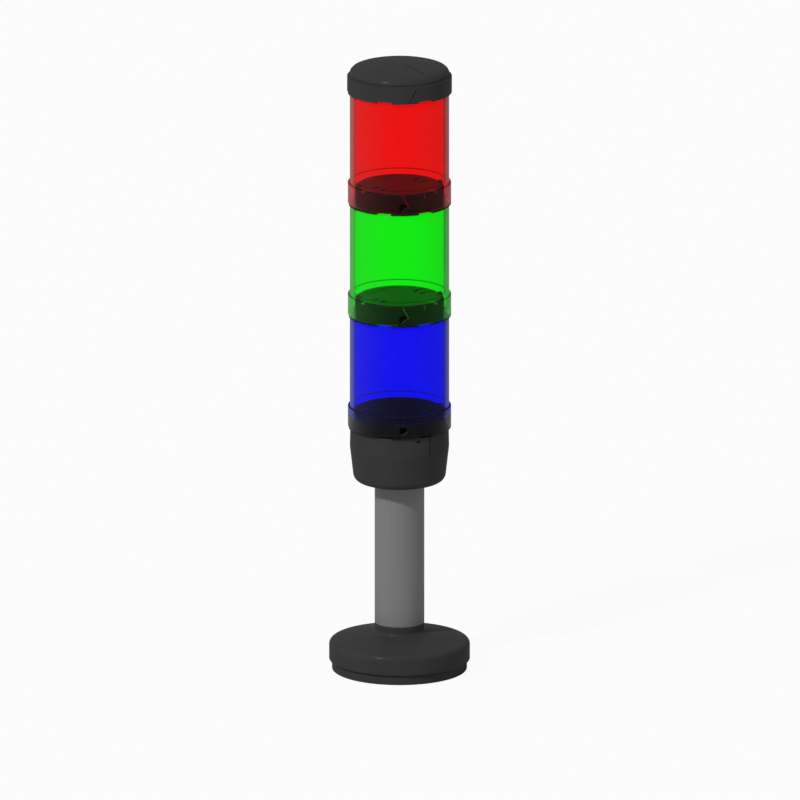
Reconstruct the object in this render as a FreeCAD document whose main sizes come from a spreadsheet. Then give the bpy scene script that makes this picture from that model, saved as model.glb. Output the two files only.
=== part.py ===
"""A three-tier signal column: foot, tube, terminal housing, three light elements and a cap.

Every sub-part is one PartDesign body whose sizes are bound to the sheet "Sizes". Lengths are
millimetres and angles are degrees. +Z is up, the origin is at the middle of the foot's
underside, and the front of the column looks along -Y. A direction is an angle about the
column's axis, counterclockwise from +X, so the front is at 270.
"""
import FreeCAD, Part
import Sketcher
import os

V = FreeCAD.Vector

# ------------------------------------------------------------------------------ driving sizes

DIMENSIONS = {
    # foot: a base plate under a shallow cone with a neck, and a spigot for the tube
    "plate_radius": 34.0,
    "plate_top": 5.2,
    "cable_radius": 8.4,
    "bolt_circle": 24.0,
    "bolt_hole": 2.1,
    "bolt_direction": 90.0,
    "foot_radius": 35.45,
    "foot_cone_low": 14.84,
    "foot_cone_high": 19.71,
    "foot_shoulder": 1.5,
    "neck_blend": 1.2,
    "foot_inner_radius": 32.6,
    "foot_ceiling": 12.2,
    "foot_neck_top": 24.2,
    "spigot_radius": 11.0,
    "spigot_top": 46.0,
    # tube
    "tube_radius": 12.5,
    "tube_top": 112.0,
    # terminal housing: a tapered cup with a thick floor that grips the tube
    "housing_bottom": 98.1,
    "housing_low_radius": 22.94,
    "housing_radius": 25.0,
    "housing_taper_top": 116.2,
    "housing_edge": 2.6,
    "housing_floor": 113.6,
    "housing_mouth": 22.5,
    "cover_thickness": 2.2,
    "block_length": 22.0,
    "block_width": 11.0,
    "block_depth": 6.0,
    "wire_hole": 2.6,
    "wire_pitch": 4.0,
    "wire_depth": 4.0,
    "grub_height": 106.0,
    "grub_radius": 2.0,
    "grub_clearance": 0.05,
    "grub_end": 20.0,
    "grub_socket": 1.0,
    "grub_socket_depth": 2.0,
    # stack of light elements
    "first_tier": 126.0,
    "tier_pitch": 58.16,
    "tier_gap": 0.2,
    "collar_radius": 26.0,
    "collar_top": 11.5,
    "smoke_ring_top": 7.3,
    "lens_radius": 25.0,
    "lens_bore": 23.2,
    "lens_roof": 2.1,
    "notch_angle": 18.5,
    "notch_height": 1.0,
    "notch_direction_left": 252.4,
    "notch_direction_right": 301.6,
    "peep_hole_radius": 2.1,
    "peep_hole_height": 4.2,
    "peep_hole_direction": 274.1,
    # bayonet: tabs with lugs on the part below, hooks inside the part above
    "tab_bore": 15.8,
    "tab_radius": 17.6,
    "lug_radius": 19.2,
    "lug_bottom": 3.5,
    "lug_top": 5.5,
    "lug_angle": 24.0,
    "lug_direction": 90.0,
    "stop_angle": 8.0,
    "hook_radius": 17.9,
    "hook_bottom": 1.2,
    "hook_top": 3.2,
    "hook_lead": 9.0,
    "arm_angle": 28.0,
    # carrier inside each element
    "skirt_radius": 21.3,
    "skirt_bore": 19.5,
    "skirt_bottom": 0.8,
    "disc_bottom": 8.1,
    "disc_top": 9.7,
    "window_circle": 13.1,
    "window_length": 3.6,
    "window_width": 1.3,
    "window_direction": 39.0,
    "window_spread": 11.5,
    "post_inner": 20.0,
    "post_outer": 21.9,
    "post_width": 2.6,
    "post_top": 13.0,
    "post_direction": 11.0,
    "index_direction": 264.8,
    "index_angle": 8.8,
    "index_outer": 25.95,
    "index_top": 1.2,
    "index_clearance": 0.2,
    # electrical pieces inside each element
    "board_length": 29.0,
    "board_width": 25.0,
    "board_thickness": 1.0,
    "lamp_length": 3.0,
    "lamp_width": 0.9,
    "lamp_height": 0.8,
    "contact_length": 20.0,
    "contact_width": 14.0,
    "contact_top": 5.2,
    "spring_gap": 0.1,
    "spring_length": 3.0,
    "spring_width": 1.2,
    "spring_pitch": 3.6,
    "strip_width": 2.0,
    "strip_thickness": 0.3,
    "strip_outer": 23.15,
    "strip_core": 8.5,
    "slot_clearance": 0.2,
    # cap
    "cap_radius": 26.4,
    "cap_rim_top": 8.4,
    "cap_wall_radius": 25.2,
    "cap_wall_bottom": 9.5,
    "cap_wall_top": 11.0,
    "cap_crown_radius": 22.8,
    "cap_crown_bottom": 12.95,
    "cap_crown_top": 14.5,
    "cap_bore": 24.3,
    "cap_ceiling": 10.8,
}

COLOURS = ("blue", "green", "red")
BAYONET_LUGS = 3
NOTCH_SETS = 3
MOUNTING_HOLES = 3
OPPOSITE = 2
WIRE_HOLES = 5
CONTACT_SPRINGS = 5
SHEET = "Sizes"

doc = FreeCAD.newDocument("signal_column")
sheet = doc.addObject("Spreadsheet::Sheet", SHEET)
for row, (alias, size) in enumerate(DIMENSIONS.items(), start=1):
    sheet.set("A%d" % row, alias)
    sheet.set("B%d" % row, str(size))
    sheet.setAlias("B%d" % row, alias)
doc.recompute()


# --------------------------------------------------------------------------------- sketch tools

def amount(words):
    """The number that a sum such as "tube_radius - 2" comes to, with aliases read from the sheet.

    A word may carry a factor in front of it, as in "0.5*board_width".
    """
    total = 0.0
    sign = 1.0
    for word in words.split():
        if word in ("+", "-"):
            sign = 1.0 if word == "+" else -1.0
            continue
        factor, _, name = word.rpartition("*")
        value = sheet.get(name) if name in DIMENSIONS else float(name)
        total += sign * value * float(factor or 1)
        sign = 1.0
    return total


def linked(words):
    """The same sum as FreeCAD's expressions write it, with each alias named on its sheet."""
    parts = []
    for word in words.split():
        factor, star, name = word.rpartition("*")
        parts.append(factor + star + SHEET + "." + name if name in DIMENSIONS else word)
    return " ".join(parts)


def new_body(label):
    """An empty body whose label names the sub-part."""
    body = doc.addObject("PartDesign::Body", label)
    body.Label = label
    return body


def origin_piece(body, role):
    """One of a body's own origin planes or axes."""
    return next(piece for piece in body.Origin.OriginFeatures if piece.Role == role)


def turned_sketch(body, name, role, axis, direction):
    """A sketch on an origin plane, turned about the column's axis to a direction."""
    sketch = body.newObject("Sketcher::SketchObject", name)
    sketch.AttachmentSupport = (origin_piece(body, role), [""])
    sketch.MapMode = "FlatFace"
    sketch.AttachmentOffset = FreeCAD.Placement(V(0, 0, 0), FreeCAD.Rotation(axis, 1))
    sketch.setExpression("AttachmentOffset.Rotation.Angle", linked(direction))
    return sketch


def upright_sketch(body, name, direction="0"):
    """A sketch that holds the column's axis and looks sideways: x is radius, y is height."""
    return turned_sketch(body, name, "XZ_Plane", V(0, 1, 0), direction)


def level_sketch(body, name, height, direction="0"):
    """A level sketch at a height, with its x axis turned to a direction."""
    sketch = turned_sketch(body, name, "XY_Plane", V(0, 0, 1), direction)
    sketch.setExpression("AttachmentOffset.Base.z", linked(height))
    return sketch


def facing_sketch(body, name, direction, distance="0"):
    """A sketch that faces a direction at a distance from the axis: x runs round, y is height."""
    sketch = turned_sketch(body, name, "YZ_Plane", V(0, 1, 0), direction)
    away = "(%s) * %s(%s)"
    sketch.setExpression("AttachmentOffset.Base.x",
                         away % (linked(distance), "sin", linked(direction)))
    sketch.setExpression("AttachmentOffset.Base.z",
                         away % (linked(distance), "cos", linked(direction)))
    return sketch


def hold(sketch, edge, point, across, up):
    """Hold one point of an edge at two sums of sheet cells."""
    for kind, words, axis in (("DistanceX", across, -2), ("DistanceY", up, -1)):
        if words == "0":
            sketch.addConstraint(Sketcher.Constraint("PointOnObject", edge, point, axis))
            continue
        place = Sketcher.Constraint(kind, -1, 1, edge, point, amount(words))
        label = "%s_%d" % ("across" if kind == "DistanceX" else "up", edge + 1)
        sketch.renameConstraint(sketch.addConstraint(place), label)
        sketch.setExpression("Constraints." + label, linked(words))


def draw_outline(sketch, corners):
    """A closed outline of straight edges through the corners."""
    points = [V(amount(across), amount(up), 0) for across, up in corners]
    count = len(points)
    for edge, start in enumerate(points):
        sketch.addGeometry(Part.LineSegment(start, points[(edge + 1) % count]), False)
    for edge in range(count):
        sketch.addConstraint(Sketcher.Constraint("Coincident", edge, 2, (edge + 1) % count, 1))
    for edge, (across, up) in enumerate(corners):
        hold(sketch, edge, 1, across, up)


def draw_circle(sketch, across, up, radius):
    """A circle whose middle and radius are sums of sheet cells."""
    middle = V(amount(across), amount(up), 0)
    sketch.addGeometry(Part.Circle(middle, V(0, 0, 1), amount(radius)), False)
    size = sketch.addConstraint(Sketcher.Constraint("Radius", 0, amount(radius)))
    sketch.renameConstraint(size, "radius")
    sketch.setExpression("Constraints.radius", linked(radius))
    hold(sketch, 0, 3, across, up)


def rectangle(left, right, low, high):
    """The corners of a rectangle, counterclockwise."""
    return [(right, low), (right, high), (left, high), (left, low)]


def centred(length, width):
    """The corners of a rectangle about the sketch's origin."""
    return rectangle("- 0.5*" + length, "0.5*" + length, "- 0.5*" + width, "0.5*" + width)


# -------------------------------------------------------------------------------- feature tools

def held_volume(body):
    """The volume of what a body holds so far."""
    doc.recompute()
    return body.Shape.Volume if body.Tip else 0.0


def settle(body, feature, before, cut):
    """Recompute, and make sure that the feature has added or removed material."""
    body.Tip = feature
    gained = held_volume(body) - before
    if gained > -1e-6 if cut else gained < 1e-6:
        raise RuntimeError("%s of %s changes nothing" % (feature.Name, body.Label))
    return feature


def turn(body, name, corners, cut=False, direction="0", angle=None):
    """Carry a profile all the way round the axis, or through an angle centred on a direction."""
    before = held_volume(body)
    sketch = upright_sketch(body, name + "_profile", direction)
    draw_outline(sketch, corners)
    feature = body.newObject("PartDesign::Groove" if cut else "PartDesign::Revolution", name)
    feature.Profile = sketch
    feature.ReferenceAxis = (sketch, ["V_Axis"])
    feature.Angle = 360
    if angle:
        feature.Midplane = True
        feature.setExpression("Angle", linked(angle))
    return settle(body, feature, before, cut)


def raise_up(body, name, low, high, corners=None, circle=None, cut=False, direction="0"):
    """A prism or a round boss from one height to another, or a pocket between them."""
    before = held_volume(body)
    sketch = level_sketch(body, name + "_plan", high if cut else low, direction)
    if circle:
        draw_circle(sketch, *circle)
    else:
        draw_outline(sketch, corners)
    feature = body.newObject("PartDesign::Pocket" if cut else "PartDesign::Pad", name)
    feature.Profile = sketch
    feature.setExpression("Length", "(%s) - (%s)" % (linked(high), linked(low)))
    return settle(body, feature, before, cut)


def reach_out(body, name, direction, start, end, circle, cut=False):
    """A round bar, or a round hole, between two distances from the column's axis."""
    before = held_volume(body)
    sketch = facing_sketch(body, name + "_face", direction, start)
    draw_circle(sketch, *circle)
    feature = body.newObject("PartDesign::Pocket" if cut else "PartDesign::Pad", name)
    feature.Profile = sketch
    feature.Reversed = cut
    feature.setExpression("Length", "(%s) - (%s)" % (linked(end), linked(start)))
    return settle(body, feature, before, cut)


def repeat_round(body, name, features, count):
    """Repeat features evenly round the column's axis."""
    pattern = body.newObject("PartDesign::PolarPattern", name)
    pattern.Originals = features
    pattern.Axis = (origin_piece(body, "Z_Axis"), [""])
    pattern.Angle = 360
    pattern.Occurrences = count
    body.Tip = pattern
    doc.recompute()


def ring_edge(shape, radius, height):
    """The name of the edge that runs round the axis at a radius and height."""
    for number, edge in enumerate(shape.Edges, start=1):
        curve = edge.Curve
        if not isinstance(curve, Part.Circle):
            continue
        if abs(curve.Radius - radius) < 1e-3 and abs(curve.Center.z - height) < 1e-3:
            return "Edge%d" % number
    raise ValueError("no ring edge at %g, %g" % (radius, height))


def bevel_ring(body, name, radius, height, size):
    """Chamfer one ring edge of a body's last feature."""
    base = body.Tip
    feature = body.newObject("PartDesign::Chamfer", name)
    feature.Base = (base, [ring_edge(base.Shape, amount(radius), amount(height))])
    feature.setExpression("Size", linked(size))
    body.Tip = feature
    doc.recompute()


# ------------------------------------------------------------------------------------- the foot

def foot_base_plate():
    """The round plate under the foot, with the cable hole and three bolt holes."""
    body = new_body("foot_base_plate")
    turn(body, "disc", [
        ("plate_radius", "0"),
        ("plate_radius", "plate_top"),
        ("cable_radius", "plate_top"),
        ("cable_radius", "0"),
    ])
    hole = raise_up(body, "bolt_hole", "0", "plate_top", cut=True, direction="bolt_direction",
                    circle=("bolt_circle", "0", "bolt_hole"))
    repeat_round(body, "bolt_holes", [hole], MOUNTING_HOLES)
    return body


def foot_cover():
    """The hollow shallow cone with its neck."""
    body = new_body("foot_cover")
    turn(body, "shell", [
        ("foot_radius", "plate_top"),
        ("foot_radius", "foot_cone_low"),
        ("tube_radius", "foot_cone_high"),
        ("tube_radius", "foot_neck_top"),
        ("spigot_radius", "foot_neck_top"),
        ("spigot_radius", "foot_ceiling"),
        ("foot_inner_radius", "foot_ceiling"),
        ("foot_inner_radius", "plate_top"),
    ])
    bevel_ring(body, "shoulder", "foot_radius", "foot_cone_low", "foot_shoulder")
    bevel_ring(body, "neck_root", "tube_radius", "foot_cone_high", "neck_blend")
    return body


def tube_spigot():
    """The sleeve that stands on the plate, through the cover's neck, for the tube to sit on."""
    body = new_body("tube_spigot")
    turn(body, "sleeve", rectangle("cable_radius", "spigot_radius", "plate_top", "spigot_top"))
    return body


def column_tube():
    """The tube, which stands on the foot's neck with its lower end round the spigot."""
    body = new_body("column_tube")
    turn(body, "wall", rectangle("spigot_radius", "tube_radius", "foot_neck_top", "tube_top"))
    return body


# ------------------------------------------------------------------------- the terminal housing

def terminal_housing():
    """The tapered cup on the tube: its thick floor grips the tube's end."""
    body = new_body("terminal_housing")
    turn(body, "cup", [
        ("housing_low_radius", "housing_bottom"),
        ("housing_radius", "housing_taper_top"),
        ("housing_radius", "first_tier - tier_gap"),
        ("housing_mouth", "first_tier - tier_gap"),
        ("housing_mouth", "housing_floor"),
        ("tube_radius", "housing_floor"),
        ("tube_radius", "housing_bottom"),
    ])
    bevel_ring(body, "bottom_edge", "housing_low_radius", "housing_bottom", "housing_edge")
    reach_out(body, "clamp_hole", "90", "0", "collar_radius", cut=True,
              circle=("0", "grub_height", "grub_radius + grub_clearance"))
    return body


def housing_grub_screw():
    """The socketed grub screw at the back that bears on the tube."""
    body = new_body("housing_grub_screw")
    reach_out(body, "shank", "90", "tube_radius", "grub_end",
              circle=("0", "grub_height", "grub_radius"))
    reach_out(body, "socket", "90", "grub_end - grub_socket_depth", "grub_end", cut=True,
              circle=("0", "grub_height", "grub_socket"))
    return body


def add_bayonet_tabs(body, base):
    """Three tabs on a roof whose top is just below the height base, each with a lug and a stop."""
    root = base + " - tier_gap - 0.3"
    tab = turn(body, "tab", [
        ("tab_radius", root),
        ("tab_radius", base + " + lug_bottom"),
        ("lug_radius", base + " + lug_bottom"),
        ("lug_radius", base + " + lug_top"),
        ("tab_bore", base + " + lug_top"),
        ("tab_bore", root),
    ], direction="lug_direction", angle="lug_angle")
    stop = turn(body, "stop", rectangle("tab_radius - 0.3", "lug_radius", root,
                                        base + " + lug_bottom + 0.3"),
                direction="lug_direction - 0.5*lug_angle + 0.5*stop_angle", angle="stop_angle")
    repeat_round(body, "bayonet_tabs", [tab, stop], BAYONET_LUGS)


def terminal_cover():
    """The lid pressed into the housing's mouth, with the first set of bayonet tabs."""
    body = new_body("terminal_cover")
    turn(body, "lid", rectangle("0", "housing_mouth", "first_tier - tier_gap - cover_thickness",
                                "first_tier - tier_gap"))
    add_bayonet_tabs(body, "first_tier")
    return body


def terminal_block():
    """The block under the lid, open below for the wires' ends."""
    body = new_body("terminal_block")
    ceiling = "first_tier - tier_gap - cover_thickness"
    raise_up(body, "block", ceiling + " - block_depth", ceiling,
             corners=centred("block_length", "block_width"))
    middle = (WIRE_HOLES - 1) / 2
    for number in range(WIRE_HOLES):
        place = "%g*wire_pitch" % (number - middle)
        raise_up(body, "wire_hole_%d" % (number + 1), ceiling + " - block_depth",
                 ceiling + " - block_depth + wire_depth", cut=True,
                 corners=rectangle(place + " - 0.5*wire_hole", place + " + 0.5*wire_hole",
                                   "- 0.5*wire_hole", "0.5*wire_hole"))
    return body


def contact_block(label, base):
    """The block of contacts that stands between the bayonet tabs, for the element above."""
    body = new_body(label)
    raise_up(body, "block", base + " - tier_gap", base + " + contact_top",
             corners=centred("contact_length", "contact_width"))
    return body


# -------------------------------------------------------------------------- the light elements

def add_rim_notches(body, outer):
    """The shallow notches all round the bottom edge of a collar or of the cap's rim."""
    for side in ("left", "right"):
        notch = turn(body, side + "_notch", rectangle("skirt_radius", outer + " + 1", "- 1",
                                                      "notch_height"),
                     cut=True, direction="notch_direction_" + side, angle="notch_angle")
        repeat_round(body, side + "_notches", [notch], NOTCH_SETS)


def add_collar_openings(body):
    """What is cut in the lower half of a collar: notches, the index slot and the peep hole."""
    add_rim_notches(body, "collar_radius")
    turn(body, "index_slot", rectangle("skirt_radius", "collar_radius + 1", "- 1",
                                       "index_top + index_clearance"),
         cut=True, direction="index_direction", angle="index_angle + 4*index_clearance")
    reach_out(body, "peep_hole", "peep_hole_direction", "0", "collar_radius + 1", cut=True,
              circle=("0", "peep_hole_height", "peep_hole_radius"))


def lens(colour, collar_bottom):
    """The lens: a collar and a tube in one moulding, closed by a roof with bayonet tabs."""
    body = new_body(colour + "_lens")
    turn(body, "wall", [
        ("collar_radius", collar_bottom),
        ("collar_radius", "collar_top"),
        ("lens_radius", "collar_top"),
        ("lens_radius", "tier_pitch - tier_gap"),
        ("0", "tier_pitch - tier_gap"),
        ("0", "tier_pitch - tier_gap - lens_roof"),
        ("lens_bore", "tier_pitch - tier_gap - lens_roof"),
        ("lens_bore", collar_bottom),
    ])
    add_bayonet_tabs(body, "tier_pitch")
    slot = raise_up(body, "strip_slot", "tier_pitch - tier_gap - lens_roof",
                    "tier_pitch - tier_gap", cut=True, direction="post_direction",
                    corners=rectangle("strip_core - slot_clearance",
                                      "strip_core + strip_thickness + slot_clearance",
                                      "- 0.5*strip_width - slot_clearance",
                                      "0.5*strip_width + slot_clearance"))
    repeat_round(body, "strip_slots", [slot], OPPOSITE)
    if collar_bottom == "0":
        add_collar_openings(body)
    return body


def smoke_ring(colour):
    """A separate lower half for a collar, moulded in smoke grey."""
    body = new_body(colour + "_smoke_ring")
    turn(body, "ring", rectangle("lens_bore", "collar_radius", "0", "smoke_ring_top"))
    add_collar_openings(body)
    return body


def add_hooks(body):
    """The hooks that pass between the lugs of the part below and then turn in under them."""
    hook = turn(body, "hook", rectangle("hook_radius", "skirt_bore + 0.3", "hook_bottom",
                                        "hook_top"),
                direction="lug_direction + hook_lead", angle="lug_angle")
    repeat_round(body, "hooks", [hook], BAYONET_LUGS)


def carrier(colour):
    """The black insert: a disc with lamp windows over a skirt that holds the bayonet hooks."""
    body = new_body(colour + "_carrier")
    turn(body, "disc_and_skirt", [
        ("skirt_radius", "skirt_bottom"),
        ("skirt_radius", "disc_bottom"),
        ("lens_bore", "disc_bottom"),
        ("lens_bore", "disc_top"),
        ("0", "disc_top"),
        ("0", "disc_bottom"),
        ("skirt_bore", "disc_bottom"),
        ("skirt_bore", "skirt_bottom"),
    ])
    add_hooks(body)
    turn(body, "index_tab", [
        ("skirt_radius", "0"),
        ("index_outer", "0"),
        ("index_outer", "index_top"),
        ("skirt_radius + 0.6", "index_top"),
        ("skirt_radius - 0.3", "index_top + 0.9"),
        ("skirt_radius - 0.3", "skirt_bottom"),
        ("skirt_radius", "skirt_bottom"),
    ], direction="index_direction", angle="index_angle")
    windows = [
        raise_up(body, side + "_window", "disc_bottom", "disc_top", cut=True,
                 direction="window_direction %s window_spread" % sign,
                 corners=rectangle("window_circle - 0.5*window_length",
                                   "window_circle + 0.5*window_length",
                                   "- 0.5*window_width", "0.5*window_width"))
        for side, sign in (("near", "-"), ("far", "+"))
    ]
    repeat_round(body, "windows", windows, OPPOSITE)
    post = raise_up(body, "post", "disc_top", "post_top", direction="post_direction",
                    corners=rectangle("post_inner", "post_outer", "- 0.5*post_width",
                                      "0.5*post_width"))
    repeat_round(body, "posts", [post], OPPOSITE)
    return body


def led_board(colour):
    """The circuit board against the underside of the carrier's disc."""
    body = new_body(colour + "_led_board")
    raise_up(body, "board", "disc_bottom - board_thickness", "disc_bottom",
             corners=centred("board_length", "board_width"))
    return body


def lamps(colour):
    """The four lamps on the board, one in each window of the disc."""
    body = new_body(colour + "_lamps")
    pair = [
        raise_up(body, side + "_lamp", "disc_bottom", "disc_bottom + lamp_height",
                 direction="window_direction %s window_spread" % sign,
                 corners=rectangle("window_circle - 0.5*lamp_length",
                                   "window_circle + 0.5*lamp_length",
                                   "- 0.5*lamp_width", "0.5*lamp_width"))
        for side, sign in (("near", "-"), ("far", "+"))
    ]
    repeat_round(body, "lamps", pair, OPPOSITE)
    return body


def contact_springs(colour):
    """The row of springs under the board that reach down to the contact block below."""
    body = new_body(colour + "_contact_springs")
    middle = (CONTACT_SPRINGS - 1) / 2
    for number in range(CONTACT_SPRINGS):
        place = "%g*spring_pitch" % (number - middle)
        raise_up(body, "spring_%d" % (number + 1), "contact_top + spring_gap",
                 "disc_bottom - board_thickness",
                 corners=rectangle(place + " - 0.5*spring_width", place + " + 0.5*spring_width",
                                   "- 0.5*spring_length", "0.5*spring_length"))
    return body


def contact_strips(colour):
    """Two bent strips that carry the supply up the lens, under its roof and through it."""
    body = new_body(colour + "_contact_strips")
    ceiling = "tier_pitch - tier_gap - lens_roof"
    half = ("- 0.5*strip_width", "0.5*strip_width")
    runs = [
        raise_up(body, "riser", "disc_top", ceiling, direction="post_direction",
                 corners=rectangle("strip_outer - strip_thickness", "strip_outer", *half)),
        raise_up(body, "arm", ceiling + " - strip_thickness", ceiling,
                 direction="post_direction",
                 corners=rectangle("strip_core", "strip_outer - 0.5*strip_thickness", *half)),
        raise_up(body, "stub", ceiling + " - 0.5*strip_thickness", "tier_pitch - tier_gap",
                 direction="post_direction",
                 corners=rectangle("strip_core", "strip_core + strip_thickness", *half)),
    ]
    repeat_round(body, "strips", runs, OPPOSITE)
    return body


def cap():
    """The cap: a notched rim, a bevelled wall, a low crown and three hooked arms inside."""
    body = new_body("cap")
    turn(body, "shell", [
        ("cap_radius", "0"),
        ("cap_radius", "cap_rim_top"),
        ("cap_wall_radius", "cap_wall_bottom"),
        ("cap_wall_radius", "cap_wall_top"),
        ("cap_crown_radius", "cap_crown_bottom"),
        ("0", "cap_crown_top"),
        ("0", "cap_ceiling"),
        ("cap_bore", "cap_ceiling"),
        ("cap_bore", "0"),
    ])
    arm = turn(body, "arm", rectangle("skirt_bore", "skirt_radius", "hook_bottom",
                                      "cap_ceiling + 0.5"),
               direction="lug_direction + hook_lead", angle="arm_angle")
    repeat_round(body, "arms", [arm], BAYONET_LUGS)
    add_hooks(body)
    add_rim_notches(body, "cap_radius")
    return body


# ------------------------------------------------------------------------------------ assembly

def stand_at(bodies, height):
    """Place bodies that were drawn from their own base at a height on the column."""
    for body in bodies:
        body.setExpression("Placement.Base.z", linked(height))


fixed_pieces = [
    foot_base_plate(),
    foot_cover(),
    tube_spigot(),
    column_tube(),
    terminal_housing(),
    housing_grub_screw(),
    terminal_cover(),
    terminal_block(),
    contact_block("base_contact_block", "first_tier"),
]

stacked_pieces = []
for level, colour in enumerate(COLOURS):
    element = [
        carrier(colour),
        led_board(colour),
        lamps(colour),
        contact_springs(colour),
        contact_strips(colour),
        contact_block(colour + "_contact_block", "tier_pitch"),
    ]
    if colour == "blue":
        element += [lens(colour, "smoke_ring_top"), smoke_ring(colour)]
    else:
        element += [lens(colour, "0")]
    stand_at(element, "first_tier + %d*tier_pitch" % level)
    stacked_pieces += element

top_piece = cap()
stand_at([top_piece], "first_tier + %d*tier_pitch" % len(COLOURS))
stacked_pieces.append(top_piece)

doc.recompute()

for piece in doc.Objects:
    for state in piece.State:
        if state in ("Invalid", "Error"):
            raise RuntimeError("%s is %s" % (piece.Name, state))

os.makedirs("parts", exist_ok=True)
for body in fixed_pieces + stacked_pieces:
    if body.Shape.isNull() or not body.Shape.isValid():
        raise RuntimeError("%s has no valid shape" % body.Label)
    body.Shape.exportStep("parts/%s.step" % body.Label)
    print("%-24s %9.1f mm3" % (body.Label, body.Shape.Volume))
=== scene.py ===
# %% [markdown]
# # A signal column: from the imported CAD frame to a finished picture
# The CAD model already says where every piece is and how it turns. This lesson dresses that frame:
# it draws finer surfaces for what the eye sees, gives each piece its finish, and adds a floor, a
# light and a camera. Every place comes from the frame, so nothing has to be fitted by eye.

import bmesh
import bpy
import numpy as np
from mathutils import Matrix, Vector


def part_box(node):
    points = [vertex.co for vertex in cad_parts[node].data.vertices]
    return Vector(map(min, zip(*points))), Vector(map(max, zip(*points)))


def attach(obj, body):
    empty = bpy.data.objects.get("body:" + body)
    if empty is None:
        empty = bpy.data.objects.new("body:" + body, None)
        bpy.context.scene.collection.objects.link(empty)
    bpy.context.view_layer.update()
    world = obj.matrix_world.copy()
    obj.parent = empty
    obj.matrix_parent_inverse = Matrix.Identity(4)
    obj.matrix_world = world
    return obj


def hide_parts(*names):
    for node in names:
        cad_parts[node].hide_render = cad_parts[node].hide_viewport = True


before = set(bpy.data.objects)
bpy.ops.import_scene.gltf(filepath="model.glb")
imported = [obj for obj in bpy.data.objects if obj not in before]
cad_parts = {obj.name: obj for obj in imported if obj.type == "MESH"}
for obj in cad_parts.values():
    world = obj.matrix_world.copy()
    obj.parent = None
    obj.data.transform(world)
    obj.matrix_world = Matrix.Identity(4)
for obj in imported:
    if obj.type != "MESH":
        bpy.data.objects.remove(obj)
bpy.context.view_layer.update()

# %% [markdown]
# ## The main heights
# A column like this is a pile of rings, so most of its places are heights. They are read from the
# boxes of the CAD nodes, in millimetres, because small turned parts are drawn in millimetres.

# %% Heights of the pieces
MM = 0.001
COLOURS = ("blue", "green", "red")


def bottom_of(node):
    """The lowest height of a CAD node, in millimetres."""
    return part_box(node)[0].z / MM


def top_of(node):
    """The highest point of a CAD node, in millimetres."""
    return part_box(node)[1].z / MM


plate_top = top_of("foot_base_plate")
tube_low, tube_high = bottom_of("column_tube"), top_of("column_tube")
housing_low, housing_high = bottom_of("terminal_housing"), top_of("terminal_housing")
tier_base = {
    "blue": bottom_of("blue_smoke_ring"),
    "green": bottom_of("green_lens"),
    "red": bottom_of("red_lens"),
}
cap_base, cap_top = bottom_of("cap"), top_of("cap")
smoke_top = top_of("blue_smoke_ring") - tier_base["blue"]
tier_pitch = tier_base["green"] - tier_base["blue"]
TIER_GAP = 0.2
lens_top = tier_pitch - TIER_GAP
print("tiers start at", {colour: round(z, 2) for colour, z in tier_base.items()})
print(f"each lens is {lens_top:.2f} mm tall up to its roof")

# %% [markdown]
# ## Outlines with rounded corners
# A moulded part has no truly sharp edge. One way to round edges is Blender's Bevel modifier. Here
# the rounding is worked out in the outline itself, before it is turned round the axis, so every
# radius is exact and the small rounded edges are known, which later tells the paint where it wears.

# %% Rounded outlines
SMALL_FILLET = 1.0


def rounded(corners, steps=6):
    """A closed outline whose corners (radius, height, fillet) are replaced by arcs.

    With a and b the unit vectors from a corner to its neighbours and w the angle between them, the
    arc's middle lies at corner + (a + b) / |a + b| * fillet / sin(w / 2), and the arc starts on one
    edge and ends on the other at fillet / tan(w / 2) from the corner. Points between are evenly
    turned. The third column says how much a point lies on a small outer arc (+) or inner one (-).
    """
    corners = np.array(corners, float)
    point, fillet = corners[:, :2], corners[:, 2:]
    back = np.roll(point, 1, 0) - point
    ahead = np.roll(point, -1, 0) - point
    a = back / np.linalg.norm(back, axis=1, keepdims=True)
    b = ahead / np.linalg.norm(ahead, axis=1, keepdims=True)
    w = np.arccos(np.clip((a * b).sum(1, keepdims=True), -1, 1))
    half = (a + b) / np.maximum(np.linalg.norm(a + b, axis=1, keepdims=True), 1e-9)
    middle = point + half * fillet / np.sin(w / 2)
    first = point + a * fillet / np.tan(w / 2) - middle
    last = point + b * fillet / np.tan(w / 2) - middle
    t = np.linspace(0, 1, steps)[None, :, None]
    turn = (np.pi - w)[:, None, :]
    arc = np.sin((1 - t) * turn) * first[:, None] + np.sin(t * turn) * last[:, None]
    arc = arc / np.maximum(np.sin(turn), 1e-9)
    side = np.sign(a[:, 1:] * b[:, :1] - a[:, :1] * b[:, 1:])[:, None, :]
    is_small = (fillet[:, None] > 0) * (fillet[:, None] < SMALL_FILLET)
    points = np.concatenate([middle[:, None] + arc, side * np.sin(np.pi * t) * is_small], 2)
    points = points.reshape(-1, 3)
    gap = np.linalg.norm((np.roll(points, -1, 0) - points)[:, :2], axis=1)
    return points[gap > 1e-6]


def refined(outline, spacing):
    """The same closed outline with extra points, evenly placed, so that no step is longer."""
    closed = np.vstack([outline, outline[:1]])
    step = np.linalg.norm(np.diff(closed[:, :2], axis=0), axis=1)
    parts = np.maximum(1, np.ceil(step / spacing - 1e-9).astype(int))
    start = np.repeat(np.arange(len(step)), parts)
    share = (np.arange(len(start)) - np.repeat(np.cumsum(parts) - parts, parts)) / parts[start]
    return closed[start] * (1 - share[:, None]) + closed[start + 1] * share[:, None]


def profile(radii, heights):
    """Outline points at these radii and heights, none of them on a small arc."""
    return np.stack(np.broadcast_arrays(radii, heights, 0.0), 1)


square = rounded([(1, 0, 0.2), (9, 0, 0.2), (9, 8, 0.2), (1, 8, 0.2)])
print("a square with four rounded corners has", len(square), "points")

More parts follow.
